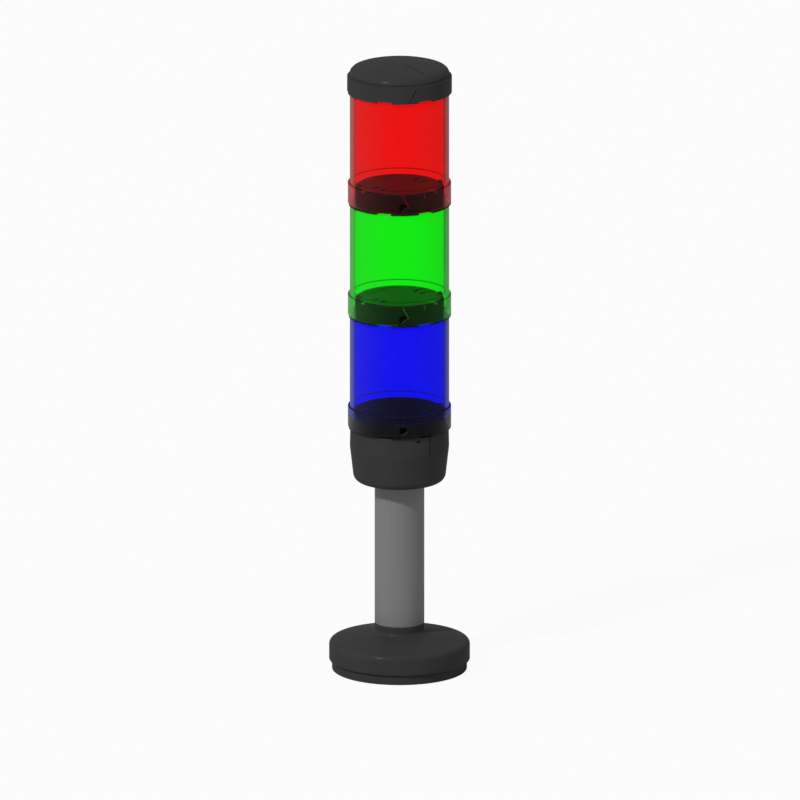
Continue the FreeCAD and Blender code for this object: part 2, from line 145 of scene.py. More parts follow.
# %% [markdown]
# ## Sheets of points
# A turned surface is an outline carried round the axis: a grid whose rows follow the outline and
# whose columns are directions round the axis. The grid is kept as radius, height and direction
# until the end, because notches, grooves and holes are easier to say that way. Four more numbers at
# each point are for the finishes: wear, mark, zone and turn.

# %% Turned sheets
CHANNELS = 7
RADIUS, HEIGHT, DIRECTION, WEAR, MARK, ZONE, TURN = range(CHANNELS)
FRONT, BACK = 270.0, 90.0
PAIR_GAP = 0.02


def joined(*sets):
    """The directions of several sets in one rising row, each once."""
    return np.unique(np.round(np.concatenate(sets), 4))


def directions(count, lines=(), bands=(), clear=()):
    """Directions round the axis in degrees: even ones, close pairs at the lines, and close ones
    over each band (start, end, step). No even one is kept inside a clear range (start, end)."""
    even = np.linspace(0, 360, count, endpoint=False)
    for low, high in clear:
        even = even[(even < low) | (even > high)]
    pairs = np.repeat(np.array(lines, float), 2) + np.tile([-PAIR_GAP, PAIR_GAP], len(lines))
    extra = [np.arange(low, high + 1e-6, step) % 360 for low, high, step in bands]
    return joined(even, pairs % 360, *extra)


def sheet_at(radius, height, direction):
    """A sheet of points at these places, with no wear and no marks."""
    sheet = np.zeros((*np.broadcast(radius, height, direction).shape, CHANNELS))
    sheet[..., RADIUS], sheet[..., HEIGHT], sheet[..., DIRECTION] = radius, height, direction
    return sheet


def turned(outline, around):
    """Every outline point at every direction, with its wear."""
    sheet = sheet_at(outline[:, :1], outline[:, 1:2], around)
    sheet[..., WEAR] = outline[:, 2:3]
    return sheet


def apart(direction, middle):
    """How far a direction is from a middle one, in degrees, from -180 to 180."""
    return (direction - middle + 180) % 360 - 180


print("that square, turned in 8 directions:", turned(square, directions(8)).shape)

# %% [markdown]
# ## Notches, grooves and strokes
# A notch in a rim lifts the lowest points over a short sector. A groove and a stroke push points
# inwards along a line, and mark the places they push, which the finishes paint darker as painted
# shade on the black mouldings, or lighter as painted highlights on the inserts. All of them move
# points of the sheet, so the surface stays one closed skin, where cutting with a Boolean modifier
# would leave long thin faces.

# %% Notches, grooves and strokes
LEAN_HOLD = 1.6


def raise_mark(sheet, share):
    """Raises the marks of a sheet to a share, wherever they are lower."""
    sheet[..., MARK] = np.maximum(sheet[..., MARK], share)


def bell(away, width):
    """cos^2 of the distance from a line: 1 on the line, 0 from the width on."""
    return np.cos(np.clip(away / width, -1, 1) * np.pi / 2) ** 2


def notch(sheet, middles, width, height):
    """Lifts every point under the height to it, in a sector about each middle direction."""
    for middle in middles:
        inside = np.abs(apart(sheet[..., DIRECTION], middle)) < width / 2
        level = sheet[..., HEIGHT]
        sheet[..., HEIGHT] = np.where(inside, np.maximum(level, height), level)


def groove_columns(middle, width):
    """Directions across a groove: its two lips, its slopes and its floor."""
    return (middle + width * np.array([-1.0, -0.55, 0.0, 0.55, 1.0])) % 360


def groove(sheet, middle, low, high, width, depth, inner, lean=0.0, reach=10.0):
    """Presses a groove into the wall outside a radius, between two heights, leaning by an angle.

    The columns near the middle lean with it: each direction shifts by lean * (height share - 1/2),
    faded to nothing at the reach. The push is depth * cos^2 of the distance from the middle, and
    the same share marks the groove, to be painted darker as painted shade.
    """
    share = np.clip((sheet[..., HEIGHT] - low) / (high - low), 0, 1)
    away = apart(sheet[..., DIRECTION], middle)
    fade = np.clip(LEAN_HOLD * (1 - np.abs(away) / reach), 0, 1)
    on_wall = sheet[..., RADIUS] > inner
    sheet[..., DIRECTION] += lean * (share - 0.5) * fade * on_wall
    within = (sheet[..., HEIGHT] > low - 1e-6) & (sheet[..., HEIGHT] < high + 1e-6) & on_wall
    cut = bell(away, width) * within
    sheet[..., RADIUS] -= depth * cut
    raise_mark(sheet, cut)


def stroke(sheet, start, end, width, depth, inner):
    """Presses a line between two (direction, height) ends into the wall outside a radius.

    The push is depth * cos^2 of the distance from the line, measured along the wall, and the same
    share marks the line, which the insert finishes paint lighter as a painted highlight.
    """
    radius = sheet[..., RADIUS]
    x = np.radians(apart(sheet[..., DIRECTION], start[0])) * radius
    y = sheet[..., HEIGHT] - start[1]
    run_x, run_y = np.radians(apart(end[0], start[0])) * radius, end[1] - start[1]
    share = np.clip((x * run_x + y * run_y) / np.maximum(run_x**2 + run_y**2, 1e-9), 0, 1)
    cut = bell(np.hypot(x - share * run_x, y - share * run_y), width) * (radius > inner)
    sheet[..., RADIUS] -= depth * cut
    raise_mark(sheet, cut)


print("a groove's push from its middle outwards:", bell(np.linspace(0, 1, 5), 1).round(2))

# %% [markdown]
# ## Round holes in a grid
# A grid of four-sided faces can't hold a round hole by itself. A small block of its faces is left
# out, and rings of points take its place: they start on the block's square rim and end on the
# hole's circle. The hole's wall is one more strip between two such circles.

# %% Round holes
RIM_STEPS = 4
BLOCK_LINES = np.linspace(-1, 1, RIM_STEPS + 1)


def rim_and_circle():
    """Points round a square from -1 to 1, counterclockwise, and the same points on its circle."""
    edge, one = np.linspace(-1, 1, RIM_STEPS, endpoint=False), np.ones(RIM_STEPS)
    rim = np.stack([np.r_[edge, one, -edge, -one], np.r_[-one, edge, one, -edge]], 1)
    return rim, rim / np.linalg.norm(rim, axis=1, keepdims=True)


def hole_in_wall(radius_at, middle, height, hole, half_angle, half_height, rings=5):
    """Rings round a hole that is drilled towards the axis through a turned wall.

    A point of the circle at angle q lies asin(hole * cos q / wall radius) round the axis and
    hole * sin q above the middle. Each ring is a mean of the square rim and that circle.
    """
    rim, ray = rim_and_circle()
    share = np.linspace(0, 1, rings)[:, None]
    up = (1 - share) * rim[:, 1] * half_height + share * ray[:, 1] * hole
    wall = radius_at(height + up)
    turn = np.degrees(np.arcsin(np.clip(hole * ray[:, 0] / wall, -1, 1)))
    across = middle + (1 - share) * rim[:, 0] * half_angle + share * turn
    sheet = sheet_at(wall, height + up, across)
    sheet[-1, :, WEAR] = 1.0
    return sheet


def inside_block(sheet, middle, half_angle, heights, radii):
    """True for the faces of a turned sheet that a block about a hole takes away."""
    centre = (sheet + np.roll(sheet, -1, 0)) / 2
    step = apart(np.roll(sheet[..., DIRECTION], -1, 1), sheet[..., DIRECTION])
    inside = np.abs(apart(sheet[..., DIRECTION] + step / 2, middle)) < half_angle
    for channel, (low, high) in ((HEIGHT, heights), (RADIUS, radii)):
        inside = inside & (centre[..., channel] > low) & (centre[..., channel] < high)
    return inside


print("a hole's rim has", len(rim_and_circle()[0]), "points")

# %% [markdown]
# ## From sheets to a mesh
# Blender stores a mesh as points and faces. The sheets of one piece are stacked, each with its
# faces, and points that fall together are merged. That also closes the poles on the axis. The wear,
# mark, zone and turn of each point go along as attributes, which a material can read.

# %% Build a piece
ATTRIBUTES = ("wear", "mark", "zone", "turn")
SHARP_ANGLE, MERGE_DISTANCE = 32.0, 2e-6


def sheet_faces(rows, cols, close_rows, close_cols, skip=None):
    """Four-sided faces between neighbouring points of a grid, closed round where asked."""
    index = np.arange(rows * cols).reshape(rows, cols)
    right, up = np.roll(index, -1, 1), np.roll(index, -1, 0)
    faces = np.stack([index, right, np.roll(right, -1, 0), up], 2)
    keep = np.ones((rows, cols), bool) if skip is None else ~skip
    keep[-1] &= close_rows
    keep[:, -1] &= close_cols
    return faces[keep]


def ring(sheet, skip=None):
    """A sheet that is closed both ways, less its skipped faces."""
    return sheet, True, True, skip


def strip(sheet):
    """A sheet that is closed round the axis or round a hole, and open at its first and last row."""
    return sheet, False, True, None


def as_points(sheet):
    """x, y, z in metres: radius * cos, radius * sin, height."""
    angle, radius = np.radians(sheet[..., DIRECTION]), sheet[..., RADIUS]
    parts = [radius * np.cos(angle), radius * np.sin(angle), sheet[..., HEIGHT]]
    return np.stack(parts, -1).reshape(-1, 3) * MM


def merged(mesh):
    """Merges points that fall together, turns the faces outwards and counts the open edges."""
    work = bmesh.new()
    work.from_mesh(mesh)
    bmesh.ops.remove_doubles(work, verts=work.verts, dist=MERGE_DISTANCE)
    bmesh.ops.recalc_face_normals(work, faces=work.faces)
    work.to_mesh(mesh)
    open_edges = sum(not edge.is_manifold for edge in work.edges)
    work.free()
    return open_edges


def placed(name, data):
    """A new object of the scene, at its middle."""
    thing = bpy.data.objects.new(name, data)
    bpy.context.scene.collection.objects.link(thing)
    return thing


def build(name, sheets, body, nodes, lift=0.0):
    """One closed mesh from sheets, each (sheet, close_rows, close_cols, skipped faces).

    The piece rides on a body, stands for CAD nodes and is raised by lift millimetres."""
    points, faces, carried_along, count = [], [], [], 0
    for sheet, close_rows, close_cols, skip in sheets:
        points.append(as_points(sheet) + [0, 0, lift * MM])
        faces.append(sheet_faces(*sheet.shape[:2], close_rows, close_cols, skip) + count)
        carried_along.append(sheet[..., WEAR:].reshape(-1, len(ATTRIBUTES)))
        count += len(points[-1])
    mesh = bpy.data.meshes.new(name)
    mesh.from_pydata(np.concatenate(points).tolist(), [], np.concatenate(faces).tolist())
    for label, values in zip(ATTRIBUTES, np.concatenate(carried_along).T):
        layer = mesh.attributes.new(label, "FLOAT", "POINT")
        layer.data.foreach_set("value", values.astype(np.float32))
    open_edges = merged(mesh)
    mesh.shade_smooth()
    mesh.set_sharp_from_angle(angle=np.radians(SHARP_ANGLE))
    piece = placed(name, mesh)
    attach(piece, body)
    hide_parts(*nodes)
    print(f"{name}: {len(mesh.polygons)} faces, {open_edges} open edges")
    return piece


# %% [markdown]
# ## The foot plate
# The round plate lies on the machine. Its three screw holes are seen only from below, but a part
# that is turned over should still look right. The holes are drilled with the block method, once in
# the underside and once in the top.

# %% Foot plate
PLATE_BORE, PLATE_RADIUS = 8.4, 34.0
BOLT_CIRCLE, BOLT_HOLE, BOLT_BLOCK = 24.0, 2.1, 8.0
BOLT_MIDDLES = (90.0, 210.0, 330.0)


def plate_hole(middle, height, rings=4):
    """Rings on a flat face: a mean of a block's rim, even in radius and direction, and a circle."""
    rim, ray = rim_and_circle()
    share = np.linspace(0, 1, rings)[:, None]
    radius = BOLT_CIRCLE + rim[:, 1] * BOLT_HOLE * 2
    angle = np.radians(middle + rim[:, 0] * BOLT_BLOCK)
    centre = BOLT_CIRCLE * np.array([np.cos(np.radians(middle)), np.sin(np.radians(middle))])
    x = (1 - share) * radius * np.cos(angle) + share * (centre[0] + BOLT_HOLE * ray[:, 0])
    y = (1 - share) * radius * np.sin(angle) + share * (centre[1] + BOLT_HOLE * ray[:, 1])
    return sheet_at(np.hypot(x, y), height, np.degrees(np.arctan2(y, x)))


plate_outline = rounded([
    (PLATE_BORE, 0, 0.4), (PLATE_RADIUS, 0, 0.6), (PLATE_RADIUS, plate_top, 0.7),
    (PLATE_BORE, plate_top, 0.3),
])
block_rows = BOLT_CIRCLE + 2 * BOLT_HOLE * BLOCK_LINES
is_under = plate_outline[:, 1] < plate_top / 2
is_inner = plate_outline[:, 0] < BOLT_CIRCLE
plate_path = np.vstack([
    plate_outline[is_under & is_inner], profile(block_rows, 0), plate_outline[~is_inner],
    profile(block_rows[::-1], plate_top), plate_outline[~is_under & is_inner],
])
block_columns = [(m - BOLT_BLOCK, m + BOLT_BLOCK, BOLT_BLOCK / 2) for m in BOLT_MIDDLES]
plate_sheet = turned(plate_path, directions(
    144, bands=block_columns, clear=[(low - 0.5, high + 0.5) for low, high, _ in block_columns]))
plate_skip = np.zeros(plate_sheet.shape[:2], bool)
plate_sheets = [ring(plate_sheet, plate_skip)]
for middle in BOLT_MIDDLES:
    for level in (0.0, plate_top):
        plate_skip |= inside_block(plate_sheet, middle, BOLT_BLOCK, (level - 1e-3, level + 1e-3),
                                   (block_rows[0], block_rows[-1]))
    lower, higher = plate_hole(middle, 0.0), plate_hole(middle, plate_top)
    plate_sheets += map(strip, (lower, higher, np.stack([lower[-1], higher[-1]])))
build("plate_with_screw_holes", plate_sheets, "base", ["foot_base_plate"])

# %% [markdown]
# ## The foot cover
# A shallow cone with a soft shoulder runs up to a short neck, as wide as the tube, with a hollow
# fillet at its foot. Both radii are what the light picks out on the real moulding, so they are
# drawn true.

# %% Foot cover
TUBE_RADIUS, TUBE_BORE = 12.5, 11.02
COVER_RADIUS, COVER_BORE, COVER_CEILING = 35.45, 32.6, 12.2
SHOULDER_TOP, NECK_FOOT = 14.84, 19.71
cover_top = top_of("foot_cover")
cover_outline = rounded([
    (COVER_BORE, plate_top, 0.3), (COVER_RADIUS, plate_top, 0.45),
    (COVER_RADIUS, SHOULDER_TOP, 2.5), (TUBE_RADIUS, NECK_FOOT, 2.0),
    (TUBE_RADIUS, cover_top, 0.3), (TUBE_BORE, cover_top, 0.2),
    (TUBE_BORE, COVER_CEILING, 0.3), (COVER_BORE, COVER_CEILING, 1.2),
], steps=9)
build("foot_cone", [ring(turned(refined(cover_outline, 4.0), directions(216)))], "base",
      ["foot_cover"])

# %% [markdown]
# ## The tube
# The tube is cut from drawn stock, and its ends are lightly broken with a tool. The broken edges
# are painted lighter, partly bare metal and partly a painted highlight, so the lower end shows as a
# thin bright line against the neck.

# %% Tube
tube_outline = rounded([
    (TUBE_BORE, tube_low, 0.2), (TUBE_RADIUS, tube_low, 0.45),
    (TUBE_RADIUS, tube_high, 0.3), (TUBE_BORE, tube_high, 0.2),
], steps=5)
build("tube", [ring(turned(refined(tube_outline, 8.0), directions(144)))], "base",
      ["column_tube"])

# %% [markdown]
# ## The terminal housing
# The housing widens upwards from a round lower edge and is pressed on the tube. On its side a thin
# moulded line and a small arrow show how far the first element turns, and at the back a round
# pocket leads to the grub screw. The pocket is a hole by the block method, with a floor.

# %% Housing outline
HOUSING_SEAT, HOUSING_FOOT, HOUSING_BELLY, HOUSING_RIM = 12.53, 22.94, 25.0, 24.85
BELLY_HEIGHT, RIM_HEIGHT = 116.2, 123.0
HOUSING_BORE, HOUSING_FLOOR, WALL_FROM = 22.5, 113.6, 22.7
SCREW_HEIGHT, SCREW_POCKET, SCREW_BLOCK, POCKET_FLOOR = 106.0, 2.15, 8.0, 12.9
housing_path = refined(rounded([
    (HOUSING_SEAT, housing_low, 0.4), (HOUSING_FOOT, housing_low, 4.0),
    (HOUSING_BELLY, BELLY_HEIGHT, 12.0), (HOUSING_RIM, RIM_HEIGHT, 0),
    (HOUSING_RIM, housing_high, 0.3), (HOUSING_BORE, housing_high, 0.2),
    (HOUSING_BORE, HOUSING_FLOOR, 0.6), (HOUSING_SEAT, HOUSING_FLOOR, 0.2),
], steps=9), 0.8)
outer = housing_path[(housing_path[:, 0] > WALL_FROM) & (housing_path[:, 1] < RIM_HEIGHT)]
outer = outer[np.argsort(outer[:, 1])]
block_half = 2 * SCREW_POCKET
block_heights = SCREW_HEIGHT + block_half * BLOCK_LINES


def housing_radius(height):
    """The housing's outer radius at a height, read from its own outline."""
    return np.interp(height, outer[:, 1], outer[:, 0])


in_block = np.flatnonzero((housing_path[:, 0] > WALL_FROM)
                          & (np.abs(housing_path[:, 1] - SCREW_HEIGHT) < block_half + 0.3))
housing_path = np.vstack([
    housing_path[:in_block[0]], profile(housing_radius(block_heights), block_heights),
    housing_path[in_block[-1] + 1:],
])
print(f"the housing's radius at the screw is {housing_radius(SCREW_HEIGHT):.2f} mm")

# %% Housing with its line, arrow and pocket
LINE_DIRECTION, LINE_LOW, LINE_WIDTH, LINE_DEPTH = FRONT + 38.7, 115.8, 1.1, 0.35
ARROW_DIRECTION, ARROW_LOW, ARROW_TALL, ARROW_HALF = FRONT + 22.6, 123.2, 1.1, 0.85
ARROW_SLOPE, ARROW_DEPTH, MARKED_FROM = 0.55, 0.3, 24.0
housing_sheet = turned(housing_path, joined(
    directions(216, bands=[(BACK - SCREW_BLOCK, BACK + SCREW_BLOCK, SCREW_BLOCK / 2)],
               clear=[(BACK - SCREW_BLOCK - 0.5, BACK + SCREW_BLOCK + 0.5)]),
    groove_columns(LINE_DIRECTION, LINE_WIDTH),
    np.arange(ARROW_DIRECTION - 2.4, ARROW_DIRECTION + 2.4, 0.2),
))
# Painted shade: the groove is marked, and the black finish paints it darker than the plastic.
groove(housing_sheet, LINE_DIRECTION, LINE_LOW, housing_high, LINE_WIDTH, LINE_DEPTH, MARKED_FROM)
arrow_turn = np.radians(apart(housing_sheet[..., DIRECTION], ARROW_DIRECTION))
arrow_across, arrow_up = np.abs(arrow_turn) * HOUSING_RIM, housing_sheet[..., HEIGHT] - ARROW_LOW
arrow = ((housing_sheet[..., RADIUS] > MARKED_FROM) & (arrow_across < ARROW_HALF)
         & (arrow_up > ARROW_SLOPE * arrow_across) & (arrow_up < ARROW_TALL))
housing_sheet[..., RADIUS] -= ARROW_DEPTH * arrow
# Painted shade: the arrow's recess is marked, to be painted darker.
raise_mark(housing_sheet, arrow)
pocket = hole_in_wall(housing_radius, BACK, SCREW_HEIGHT, SCREW_POCKET, SCREW_BLOCK, block_half)
floor_rim = pocket[-1].copy()
floor_rim[:, RADIUS] = POCKET_FLOOR
floor_turn = apart(floor_rim[:, DIRECTION], BACK) * pocket[-1, :, RADIUS] / POCKET_FLOOR
floor_rim[:, DIRECTION] = BACK + floor_turn
floor_middle = np.zeros_like(floor_rim)
floor_middle[:, :WEAR] = POCKET_FLOOR, SCREW_HEIGHT, BACK
housing_skip = inside_block(housing_sheet, BACK, SCREW_BLOCK, (block_heights[0], block_heights[-1]),
                            (WALL_FROM, HOUSING_BELLY + 1))
build("housing_with_marks", [
    ring(housing_sheet, housing_skip), strip(pocket),
    strip(np.stack([pocket[-1], floor_rim, floor_middle])),
], "base", ["terminal_housing"])

# %% [markdown]
# ## Posts, tabs and hooks
# The small blocks that join the pieces are solids of their own in the mesh. A post is a straight
# block. A tab or hook follows the axis round, so it is an outline carried over a short sector, and
# each end is closed by faces to its middle. The bayonet has three of them, a third of a turn apart.

# %% Small blocks
POST_MIDDLES, POST_RADII = (11.0, 191.0), (19.9, 21.9)
POST_WIDTH, POST_TOP, POST_CORNER = 2.6, 10.9, 0.3
LUG_DIRECTION, LUG_WIDTH, LUG_TURNS = 90.0, 24.0, (0, 120, 240)
LUG_BORE, LUG_STEM, LUG_RADIUS, LUG_LOW, LUG_HIGH = 15.8, 17.6, 19.2, 3.5, 5.5
HOOK_DIRECTION, HOOK_BORE, HOOK_LOW, HOOK_HIGH = LUG_DIRECTION + 9.0, 17.9, 1.2, 3.2
DISC_LOW, DISC_TOP, DISC_RADIUS = 8.1, 9.7, 20.8
SKIRT_RADIUS, SKIRT_BORE, SKIRT_LOW, SKIRT_HIGH = 22.45, 19.5, 0.15, 8.7


def post(direction):
    """A small upright block with rounded corners: its outline at two heights, and its middle."""
    mid = sum(POST_RADII) / 2
    size = np.array([POST_RADII[1] - POST_RADII[0], POST_WIDTH]) / 2
    angle = np.radians(45 + 90 * np.arange(4)[:, None] + np.linspace(-45, 45, 4))
    centre = (size - POST_CORNER) * np.array([(1, 1), (-1, 1), (-1, -1), (1, -1)])
    across = (centre[:, :1] + POST_CORNER * np.cos(angle)).ravel()
    along = (centre[:, 1:] + POST_CORNER * np.sin(angle)).ravel()
    share = np.array([0, 1, 1, 0.8, 0])[:, None]
    x, y = mid + across * share, along * share
    low = DISC_TOP - 0.9
    height = np.array([low, low, POST_TOP - 0.25, POST_TOP, POST_TOP])[:, None]
    return strip(sheet_at(np.hypot(x, y), height, np.degrees(np.arctan2(y, x)) + direction))


def sector_block(corners, middle, width):
    """A block that follows the axis round: an outline carried over a sector, with closed ends."""
    sheet = turned(rounded(corners, steps=3), middle + width / 2 * np.linspace(-1, 1, 7))
    sheet[..., WEAR] = 0
    ends = (sheet[:, 0], sheet[:, -1])
    closings = [np.stack([end, np.zeros_like(end) + end.mean(0)]) for end in ends]
    return [(sheet, True, False, None), *map(strip, closings)]


def bayonet(corners, middle):
    """The three sector blocks of a bayonet."""
    return [part for turn in LUG_TURNS for part in sector_block(corners, middle + turn, LUG_WIDTH)]


print("bayonet tabs at", [LUG_DIRECTION + turn for turn in LUG_TURNS], "degrees")

# %% [markdown]
# ## The black inserts
# Inside each lens a black insert carries the lamps: a disc with four windows over a skirt that
# holds the bayonet. The windows are single faces left out of the disc's top and bottom, joined by
# four walls. Two strokes on the skirt make an arrowhead that shows the way to turn.

# %% Outline of an insert
WINDOW_MIDDLES = (27.5, 50.5, 207.5, 230.5)
WINDOW_RADII, WINDOW_HALF = (11.3, 14.9), 0.95
# Two places on the disc's bevel, left and right of the front, where slivers of painted highlight
# are marked.
HIGHLIGHT_SLIVER_MIDDLES, HIGHLIGHT_SLIVER_HALF = (FRONT - 57.0, FRONT + 57.0), 3.2
TICK_DIRECTION, TICK_LOW, TICK_HIGH, TICK_WIDTH = FRONT + 34.9, 7.6, 9.4, 0.4
TURN_ARROW, TURN_ARROW_WIDTH = [(FRONT + 4.6, 9.2), (FRONT + 11.8, 4.0), (FRONT + 2.4, 1.5)], 0.34
TAB_DIRECTION, TAB_WIDTH, TAB_INNER, TAB_OUTER, TAB_HEIGHT = 264.8, 8.8, 21.0, 25.95, 1.2
window_half_angle = np.degrees(WINDOW_HALF / np.mean(WINDOW_RADII))
skirt_rows = np.linspace(1.2, 8.2, 29)
insert_path = rounded([
    (SKIRT_RADIUS, SKIRT_LOW, 0.2), (SKIRT_RADIUS, SKIRT_HIGH, 0.5), (DISC_RADIUS, DISC_TOP, 0.5),
    (WINDOW_RADII[1], DISC_TOP, 0), (WINDOW_RADII[0], DISC_TOP, 0),
    (0, DISC_TOP, 0), (0, DISC_LOW, 0), (WINDOW_RADII[0], DISC_LOW, 0),
    (WINDOW_RADII[1], DISC_LOW, 0), (SKIRT_BORE, DISC_LOW, 0.3), (SKIRT_BORE, SKIRT_LOW, 0.2),
], steps=5)
under_rows = (insert_path[:, 0] > SKIRT_RADIUS - 0.1) & (insert_path[:, 1] < skirt_rows[0])
insert_path = np.insert(insert_path, np.flatnonzero(under_rows)[-1] + 1,
                        profile(SKIRT_RADIUS, skirt_rows), axis=0)
fine_bands = [(FRONT + 1, FRONT + 14, 0.4), *((m - 3.5, m + 3.5, 0.5) for m in HIGHLIGHT_SLIVER_MIDDLES)]
insert_around = joined(
    directions(180, bands=fine_bands, clear=[
        (m - 1.2 * window_half_angle, m + 1.2 * window_half_angle) for m in WINDOW_MIDDLES]),
    [m + side * window_half_angle for m in WINDOW_MIDDLES for side in (-1, 1)],
    groove_columns(TICK_DIRECTION, 0.9),
)
print("an insert's grid:", len(insert_path), "by", len(insert_around))


# %% Inserts
def window_walls(sheet):
    """Straightens four windows in the disc, and returns the faces they take and their walls."""
    radius = sheet[..., RADIUS]
    on_window = (radius > WINDOW_RADII[0] - 0.01) & (radius < WINDOW_RADII[1] + 0.01)
    true_half = np.degrees(np.arcsin(WINDOW_HALF / np.maximum(radius, 1)))
    skip, walls = np.zeros(sheet.shape[:2], bool), []
    for middle in WINDOW_MIDDLES:
        offset = apart(sheet[..., DIRECTION], middle)
        near = on_window & (np.abs(offset) < window_half_angle + 0.1)
        sheet[..., DIRECTION] = np.where(near, middle + np.sign(offset) * true_half,
                                         sheet[..., DIRECTION])
        rows, (left, right) = np.flatnonzero(near.any(1)), np.flatnonzero(near.any(0))[:2]
        skip[rows[0], left] = skip[rows[2], left] = True
        top = sheet[rows[[0, 0, 1, 1]], [left, right, right, left]]
        low = sheet[rows[[3, 3, 2, 2]], [left, right, right, left]]
        below = top.copy()
        below[:, HEIGHT] -= 0.06
        walls.append(strip(np.stack([top, below, low])))
    return skip, walls


def insert(colour):
    """The skirt and disc with windows, posts, tab and hooks."""
    sheet = turned(insert_path, insert_around)
    skip, walls = window_walls(sheet)
    # Painted highlights: the strokes and the tick are marked, and the insert finishes paint marks
    # lighter, as light along the groove edges.
    for start, end in zip(TURN_ARROW[:-1], TURN_ARROW[1:]):
        stroke(sheet, start, end, TURN_ARROW_WIDTH, 0.2, DISC_RADIUS + 0.1)
    stroke(sheet, (TICK_DIRECTION, TICK_LOW), (TICK_DIRECTION, TICK_HIGH), TICK_WIDTH, 0.15,
           DISC_RADIUS + 0.1)
    # Painted highlights: two short slivers of the disc's bevel are marked, to be painted lighter.
    on_bevel = (sheet[..., HEIGHT] > SKIRT_HIGH + 0.05) & (sheet[..., RADIUS] > DISC_RADIUS - 0.3)
    for middle in HIGHLIGHT_SLIVER_MIDDLES:
        raise_mark(sheet, on_bevel & (np.abs(apart(sheet[..., DIRECTION], middle)) < HIGHLIGHT_SLIVER_HALF))
    sheet[..., ZONE] = sheet[..., HEIGHT] > DISC_TOP - 0.05
    # Painted highlight: a faint light line is painted along the disc's rounded rim.
    sheet[..., MARK] += 0.25 * (sheet[..., WEAR] > 0.5) * (sheet[..., HEIGHT] > DISC_TOP - 0.5)
    tab = sector_block([
        (TAB_INNER, 0, 0.1), (TAB_OUTER, 0, 0.2), (TAB_OUTER, TAB_HEIGHT, 0.2),
        (TAB_INNER, TAB_HEIGHT, 0.1),
    ], TAB_DIRECTION, TAB_WIDTH)
    hooks = bayonet([
        (HOOK_BORE, HOOK_LOW, 0.2), (SKIRT_BORE + 0.2, HOOK_LOW, 0.2),
        (SKIRT_BORE + 0.2, HOOK_HIGH, 0.2), (HOOK_BORE, HOOK_HIGH, 0.2),
    ], HOOK_DIRECTION)
    parts = [ring(sheet, skip), *walls, *map(post, POST_MIDDLES), *tab, *hooks]
    return build(f"{colour}_insert", parts, f"{colour}_element",
                 [f"{colour}_carrier"], lift=tier_base[colour])


inserts = {colour: insert(colour) for colour in COLOURS}

# %% [markdown]
# ## The lenses
# A lens is a clear coloured cup, open below, with a wider collar at its foot that slips over the
# element below. It is drawn as one closed wall with a real thickness, because the light darkens
# where it runs along the wall at the edges. A low rib inside marks where the insert stops. The
# lowest collar is a ring of smoke-grey plastic of its own, under a blue upper half.

# %% Collars
COLLAR_RADIUS, COLLAR_TOP, LENS_RADIUS, LENS_BORE = 26.0, 11.5, 25.0, 23.2
NOTCH_MIDDLES = [m + turn for m in (252.4, 301.6) for turn in LUG_TURNS]
NOTCH_WIDTH, NOTCH_HEIGHT, LIP_HEIGHT = 18.5, 1.0, 0.95
NOTCH_EDGES = [m + side * NOTCH_WIDTH / 2 for m in NOTCH_MIDDLES for side in (-1, 1)]
PEEP_DIRECTION, PEEP_HEIGHT, PEEP_RADIUS = 274.1, 4.2, 2.1
PEEP_BLOCK, PEEP_BLOCK_HALF = 7.5, 2.9
STEP_TURN, INNER_TURN = 1.3, 2.0


def collar_directions():
    """Columns for a collar: close pairs at each notch, and even steps over the hole's block."""
    edges = NOTCH_EDGES + [TAB_DIRECTION + side * (TAB_WIDTH / 2 + 0.4) for side in (-1, 1)]
    low, high = PEEP_DIRECTION - PEEP_BLOCK, PEEP_DIRECTION + PEEP_BLOCK
    return directions(216, lines=[e for e in edges if abs(apart(e, PEEP_DIRECTION)) > PEEP_BLOCK],
                      bands=[(low, high, PEEP_BLOCK / 2)], clear=[(low - 0.3, high + 0.3)])


def collar_wall(top, rest):
    """The outline of a collar's lower part, with rows that fit the hole's block on both sides."""
    rows = PEEP_HEIGHT + PEEP_BLOCK_HALF * BLOCK_LINES
    low = rounded([
        (LENS_BORE, 0, 0.2), (COLLAR_RADIUS, 0, 0.3), (COLLAR_RADIUS, top, 0), (LENS_BORE, top, 0),
    ])
    return np.vstack([
        low[low[:, 1] < 0.5], profile(COLLAR_RADIUS, LIP_HEIGHT + np.array([-0.03, 0.03])),
        profile(COLLAR_RADIUS, rows), rest, profile(LENS_BORE, rows[::-1]),
    ])


def pierced(outline):
    """A collar's sheets: the turned wall without its block, notched, and the hole through it."""
    sheet = turned(outline, collar_directions())
    heights = (PEEP_HEIGHT - PEEP_BLOCK_HALF, PEEP_HEIGHT + PEEP_BLOCK_HALF)
    skip, rings = np.zeros(sheet.shape[:2], bool), []
    for wall in (COLLAR_RADIUS, LENS_BORE):
        skip |= inside_block(sheet, PEEP_DIRECTION, PEEP_BLOCK, heights, (wall - 0.1, wall + 0.1))
        rings.append(hole_in_wall(lambda height: np.full_like(height, wall), PEEP_DIRECTION,
                                  PEEP_HEIGHT, PEEP_RADIUS, PEEP_BLOCK, PEEP_BLOCK_HALF))
    notch(sheet, NOTCH_MIDDLES, NOTCH_WIDTH, NOTCH_HEIGHT)
    notch(sheet, [TAB_DIRECTION], TAB_WIDTH + 0.8, TAB_HEIGHT + 0.05)
    return [ring(sheet, skip), *map(strip, (*rings, np.stack([rings[0][-1], rings[1][-1]])))]


